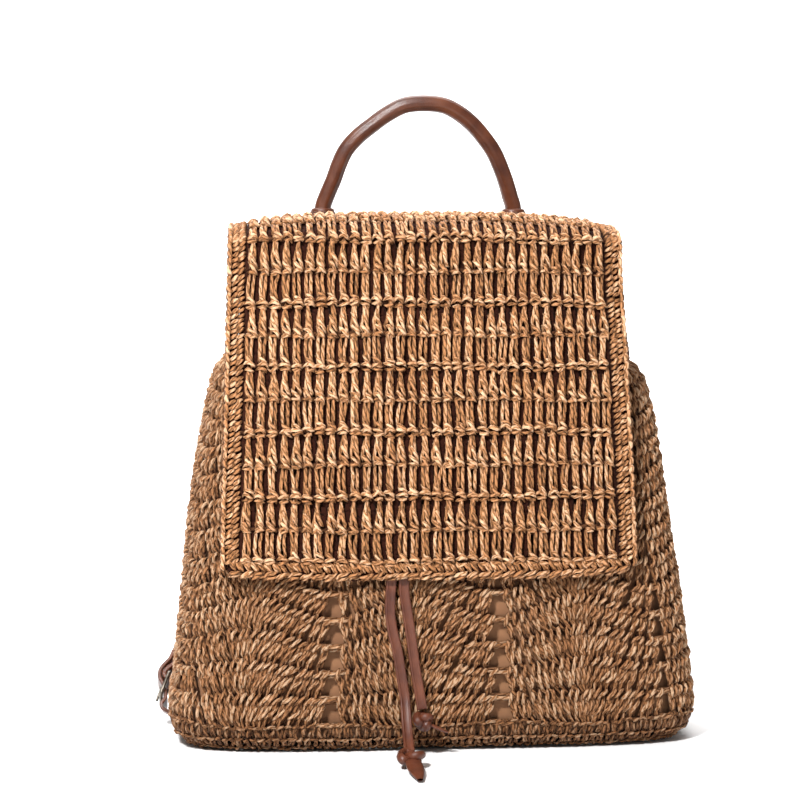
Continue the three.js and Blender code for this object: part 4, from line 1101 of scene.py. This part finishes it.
def knot_piece(side):
    (cx, cy, cz), (sx, sy, sz), tail = KNOTS[side]
    t = np.linspace(0, 2 * math.pi, 90, endpoint=False)
    turn = np.stack([np.sin(t) + 2 * np.sin(2 * t), np.sin(3 * t) * 1.1, np.cos(t) - 2 * np.cos(2 * t)], 1)
    inner = np.array([sx - 2.7, sy - 2.3, sz - 2.5])
    line = turn / (3.0, 1.1, 3.0) * inner + (cx, cy, cz)
    points = catmull([p[:3] for p in tail], 6)
    wide = np.interp(np.linspace(0, 1, len(points)), np.linspace(0, 1, len(tail)), [p[3] for p in tail])
    core = np.stack([np.full(8, cx), cy + np.linspace(-0.72, 0.72, 8) * sy, np.full(8, cz)], axis=1)
    size = 0.62 * min(sx, sz) * np.sqrt(1 - np.linspace(-0.95, 0.95, 8) ** 2)
    parts = [tubes(line[None], (0.1, 1.0, 0.2), 2.6, 0.85, 12, True),
             tubes(points[None], (0, 0.1, 1.0), wide[None], 0.42, 12),
             tubes(core[None], (0, 0, 1.0), size[None], 1.0, 12)]
    return dress(mesh_object(f"lace_knot_{side}", *join(parts)[:3]), SOFT, "lace", f"knot_{side}")


def lace_piece(side):
    points = [(x, -float(front_at(z) + pleat_at(z)) - off, z) for x, z, off in LACES[side]]
    line = spaced(catmull(points, 8), 110)
    tangent = unit(np.gradient(line, axis=0))
    widths = np.cross(BEHIND, tangent)
    piece, _, _ = strap_mesh(f"lace_{side}", line, widths, LACE_WIDTH, LACE_THICK, LACE_SECTION)
    dress(piece, SOFT, "lace", f"drawstring_end_{side}")
    knot = knot_piece(side)


for side in LACES:
    lace_piece(side)


def drawstring_piece():
    """The round cord through the neck, inside it and out over four stretches."""
    around = 48
    outside = [(1, 1), (9, 15), (around - 15, around - 9), (around - 1, around - 1)]
    z = NECK * MOUTH_HEIGHT
    points = []
    for i in range(1, around):
        out = CLEAR + CORD_RADIUS if any(a <= i <= b for a, b in outside) else -(WALL + CLEAR + CORD_RADIUS)
        points.append(body_point(i / around, float(profile_of(z)), out)[0])
    return round_tube("drawstring_cord", spaced(points, 260), (0, 0, 1), CORD_RADIUS, 1.0, 10)


dress(drawstring_piece(), SOFT, "lace", "drawstring")

# Shoulder straps: the buckle's middle and direction, the seat of the lower end as a share of the way round,
# and the route as x, height, distance off the back and turn in degrees
STRAPS = {
    "left": {"buckle": (-155.6, 46.6, 20), "up": (0.33, 0.55, 0.77), "seat": 0.697, "route": [
        (-12, 277, 0, 0), (-15, 265, 0.9, 0), (-23, 252, 2.5, 5), (-45, 238, 12, 25), (-74, 221, 24, 50),
        (-95, 194, 34, 75), (-108, 160, 40, 85), (-119, 122, 42, 85), (-130, 86, 34, 85)]},
    "right": {"buckle": (156.3, 47.8, 20.3), "up": (-0.22, 0.55, 0.8), "seat": 0.305, "route": [
        (12, 277, 0, 0), (18, 266, 1.1, 0), (38, 262, 4, 5), (72, 263, 10, 20), (107, 261, 13, 45),
        (129, 249, 15, 70), (136, 229, 19, 85), (137.5, 203, 27, 88), (138, 165, 36, 88),
        (138.5, 125, 40, 88), (138.5, 90, 36, 85)]},
}
ANCHOR = {"half": 27, "low": 258, "high": 283, "skin": 2}
KEEPER = {"at": 36, "wide": 6, "wall": 1.3}
FLAP_FACE = FLAP_WALL / 2 + FLAP_RIB
THREAD_INSET = 2.0


def edge_threads(name, points, side, up, wide, thick):
    """Sewn rows a little in from both edges of a strap."""
    for i, (edge, face) in enumerate(((-1, 1), (1, 1), (-1, -1), (1, -1))):
        line = points + side * edge * (wide / 2 - THREAD_INSET) + up * face * thick / 2
        sew(f"{name}_{i}", line, up * face)


def strap_pieces(name):
    spec = STRAPS[name]
    middle = np.array(spec["buckle"], float)
    u = unit(np.array(spec["up"], float))
    away = np.array((math.copysign(1, middle[0]), 0, 0))
    n = unit(away - u * away.dot(u))
    w = np.cross(u, n)
    across = w * math.copysign(1, w[1])

    def spot(along, out):
        return middle + u * along + n * out

    pivot = BUCKLE_REACH / 2
    corner = BUCKLE_BAR / 2 * math.sqrt(2)
    layer = corner + CLEAR + STRAP_THICK / 2
    returned = STRAP_THICK + CLEAR - layer
    seat_y = float(back_spot(0, ANCHOR["low"], FLAP_FACE)[1])
    lift = 1.5 * CLEAR + STRAP_THICK / 2
    free = [back_spot(x, z, FLAP_FACE + lift) if off == 0 else np.array((x, seat_y + lift + off, z))
            for x, z, off, _ in spec["route"]]
    controls = [*free, spot(52, -layer), spot(42, -layer), spot(30, -layer)]

    def flat_width(i):
        return unit(np.cross(controls[i + 1] - controls[max(i - 1, 0)], BEHIND))

    widths = []
    for i, (_, _, _, turn) in enumerate(spec["route"]):
        flat = flat_width(i)
        flat = flat * math.copysign(1, flat.dot(flat_width(0)))
        angle = math.radians(turn)
        widths.append(flat * math.cos(angle) + BEHIND * math.sin(angle))
    widths += [across] * 3
    points, turns = catmull(controls, 10), catmull(widths, 10)
    half_turn = np.radians(np.linspace(0, -180, 13))
    around = [(pivot + layer * math.sin(a), -layer * math.cos(a)) for a in half_turn]
    back = [(pivot + 3.5, layer * 0.6), (pivot + 7, returned), (pivot + 14, returned)]
    end = catmull([spot(a, b) for a, b in [(22, -layer), (15, -layer), *around, *back]], 3)
    line = np.concatenate([points[:-1], spaced([points[-1], end[0]], 4)[:-1], end])
    side = np.concatenate([turns[:-1], np.broadcast_to(across, (3 + len(end), 3))])
    strap, side_at, up_at = strap_mesh(f"shoulder_strap_{name}", line, side, STRAP_WIDTH, STRAP_THICK)
    dress(strap, LEATHER, "leather", f"strap_{name}")
    body = slice(14, len(points) - 1)
    edge_threads(f"shoulder_thread_{name}", line[body], side_at[body], up_at[body], STRAP_WIDTH, STRAP_THICK)

    foot = section(spec["seat"], HEEL)
    reach = HEEL + 2.8 * CLEAR + LOWER_THICK / 2
    under = []
    for angle in np.radians((54, 45)):
        out = reach * math.cos(angle) - HEEL
        x, y = foot[:2] + foot[2:] * out
        under.append(np.array((x, y, HEEL - reach * math.sin(angle))))
    over = layer + STRAP_THICK / 2 + CLEAR + LOWER_THICK / 2 + 0.1
    on_return = returned + STRAP_THICK / 2 + CLEAR + LOWER_THICK / 2
    on_layer = LOWER_THICK / 2 + CLEAR + STRAP_THICK / 2 - layer
    tail = [spot(a, b) for a, b in (
        (-13, -layer), (-pivot, -layer), (-4, -1.3), (0, 1.3), (4, over - 1.1), (pivot, over),
        (12, over - 0.8), (18, on_return + 0.4), (24, on_return), (28, on_return * 0.5),
        (31, on_layer + 0.1), (44, on_layer))]
    hem = np.array((-foot[3], foot[2], 0))
    hem = hem * math.copysign(1, hem.dot(across))
    bend = catmull([*under, *tail[:2]], 5)
    mixed = hem + (across - hem) * np.linspace(0, 1, len(bend))[:, None]
    rest = catmull(tail[1:], 5)
    base, side_at, up_at = strap_mesh(
        f"strap_end_{name}", np.concatenate([bend[:-1], rest]),
        np.concatenate([mixed[:-1], np.broadcast_to(across, rest.shape)]), STRAP_WIDTH, LOWER_THICK)
    dress(base, LEATHER, "leather", f"strap_base_{name}")

    inner = STRAP_WIDTH / 2 + CLEAR + 0.4 + BUCKLE_BAR / 2
    ring = np.array([middle + w * x + u * y for x, y in rounded_box(inner, pivot, 2, 6)])
    buckle = round_tube(f"buckle_frame_{name}", ring, n, 1.2, 0.95, 12, True)
    dress(buckle, METAL, "metal", f"buckle_{name}")

    rod_out = BUCKLE_BAR / 2 + CLEAR + PRONG_RADIUS
    rod = catmull([spot(a, rod_out + b) for a, b in (
        (pivot, 0), (pivot - 5, 0.1), (0, 0), (2 - pivot, -0.1), (-pivot - 1.1, -0.3))], 4)
    size = PRONG_RADIUS * np.linspace(1.0, 0.8, len(rod))
    prong = round_tube(f"prong_rod_{name}", rod, n, size[None], 0.85, 10)
    dress(prong, METAL, "metal", f"prong_{name}")
    angle = np.linspace(0, 2 * math.pi, 20, endpoint=False)
    loop = np.array([spot(pivot + 2.5 * math.cos(a), 2.5 * math.sin(a)) for a in angle])
    hoop = round_tube(f"prong_loop_{name}", loop, w, 0.6, 1.6, 8, True)
    dress(hoop, METAL, "metal", f"prong_{name}")

    low = -layer - STRAP_THICK / 2 - CLEAR
    high = on_layer + LOWER_THICK / 2 + CLEAR
    deep = (high - low) / 2 + KEEPER["wall"] / 2
    broad = STRAP_WIDTH / 2 + CLEAR + KEEPER["wall"] / 2
    centre = middle + u * KEEPER["at"] + n * (low + high) / 2
    ring = [centre + w * x + n * y for x, y in rounded_box(broad, deep, 1, 4)]
    keeper, _, _ = strap_mesh(f"keeper_loop_{name}", ring, u, KEEPER["wide"], KEEPER["wall"], closed=True)
    dress(keeper, LEATHER, "leather", f"keeper_{name}")


for name in STRAPS:
    strap_pieces(name)


def anchor_piece():
    """The sewn patch over the top ends of the straps, swollen where they pass under it."""
    columns, rows = 36, 16
    x = np.linspace(-ANCHOR["half"], ANCHOR["half"], columns)
    z = np.linspace(ANCHOR["low"], ANCHOR["high"], rows)
    thick = STRAP_THICK + 2 * CLEAR + ANCHOR["skin"]
    faces = []
    for face in (1, 0):
        grid = []
        for height in z:
            edge_z = min(height - ANCHOR["low"], ANCHOR["high"] - height)
            edge = np.minimum(ANCHOR["half"] - np.abs(x), edge_z)
            soft = 1 - np.exp(-np.maximum(edge, 0) / 1.6)
            out = FLAP_FACE + CLEAR + (0.25 + soft) / 1.25 * thick * face
            grid.append(back_spot(x, np.full(columns, height), out))
        faces.append(np.array(grid))
    verts = np.concatenate([f.reshape(-1, 3) for f in faces])
    grid = np.arange(rows * columns).reshape(rows, columns)
    a = grid[:-1, :-1]
    front = np.stack([a + 1, a, a + columns, a + columns + 1], axis=-1).reshape(-1, 4)
    rear = front[:, ::-1] + grid.size
    loop = np.concatenate([grid[0], grid[1:, -1], grid[-1, -2::-1], grid[-2:0:-1, 0]])
    after = np.roll(loop, -1)
    wall = np.stack([loop, after, after + grid.size, loop + grid.size], axis=1)
    piece = mesh_object("strap_patch", verts, np.concatenate([front, rear, wall]))
    dress(piece, LEATHER, "leather", "strap_anchor")
    inset = 3
    out = FLAP_FACE + CLEAR + thick
    xs = np.linspace(-ANCHOR["half"] + inset, ANCHOR["half"] - inset, 20)
    zs = np.linspace(ANCHOR["low"] + inset, ANCHOR["high"] - inset, 10)
    path = [*((v, zs[0]) for v in xs), *((xs[-1], v) for v in zs),
            *((v, zs[-1]) for v in xs[::-1]), *((xs[0], v) for v in zs[::-1])]
    line = np.array([back_spot(v, h, out) for v, h in path])
    sew("strap_patch_thread", line, BEHIND)


anchor_piece()


# Stage, light and camera
def sweep_backdrop():
    mesh = bpy.data.meshes.new("backdrop")
    path = [(-4.0, 0.0), (2.2, 0.0)]
    path += [(2.2 + 0.9 * math.sin(a), 0.9 - 0.9 * math.cos(a)) for a in np.radians(np.linspace(8, 90, 12))]
    path.append((3.1, 5.0))
    verts = [(x, y, z) for y, z in path for x in (-6.0, 6.0)]
    faces = [(2 * i, 2 * i + 1, 2 * i + 3, 2 * i + 2) for i in range(len(path) - 1)]
    mesh.from_pydata(verts, [], faces)
    floor = bpy.data.objects.new("backdrop", mesh)
    bpy.context.scene.collection.objects.link(floor)
    look = Look("backdrop")
    look.inputs["Base Color"].default_value = (0.86, 0.86, 0.86, 1)
    look.inputs["Roughness"].default_value = 0.9
    mesh.materials.append(look.mat)
    for polygon in mesh.polygons:
        polygon.use_smooth = True


def area_light(name, place, aim, size, watts):
    light = bpy.data.lights.new(name, "AREA")
    light.shape = "SQUARE"
    light.size = size
    light.energy = watts
    lamp = bpy.data.objects.new(name, light)
    lamp.location = place
    lamp.rotation_euler = (Vector(aim) - Vector(place)).to_track_quat("-Z", "Y").to_euler()
    bpy.context.scene.collection.objects.link(lamp)


sweep_backdrop()
area_light("key", (-0.55, -1.0, 1.1), (0, 0, 0.2), 0.18, 38)
area_light("fill", (1.6, -1.6, 0.5), (0, 0, 0.15), 1.4, 3)
area_light("top", (0.1, 0.3, 2.2), (0, 0, 0.1), 1.2, 16)
area_light("back", (0, 1.3, 2.4), (0, 3.1, 0.6), 2.4, 200)

world = bpy.data.worlds.new("soft")
world.use_nodes = True
world.node_tree.nodes["Background"].inputs["Color"].default_value = (1, 1, 1, 1)
world.node_tree.nodes["Background"].inputs["Strength"].default_value = 0.17
bpy.context.scene.world = world
bpy.context.scene.view_settings.view_transform = "Standard"

AIM = Vector((-0.0155, 0, 0.199))
CAMERA_AWAY = 1.32
CAMERA_HEIGHT = 0.26
CAMERA_TURN = math.radians(5.5)
camera_data = bpy.data.cameras.new("camera")
camera_data.lens = 100
camera_data.sensor_width = 36
camera = bpy.data.objects.new("camera", camera_data)
camera.location = AIM + Vector((-CAMERA_AWAY * math.sin(CAMERA_TURN), -CAMERA_AWAY * math.cos(CAMERA_TURN),
                                CAMERA_HEIGHT - AIM.z))
camera.rotation_euler = (AIM - camera.location).to_track_quat("-Z", "Y").to_euler()
bpy.context.scene.collection.objects.link(camera)
bpy.context.scene.camera = camera
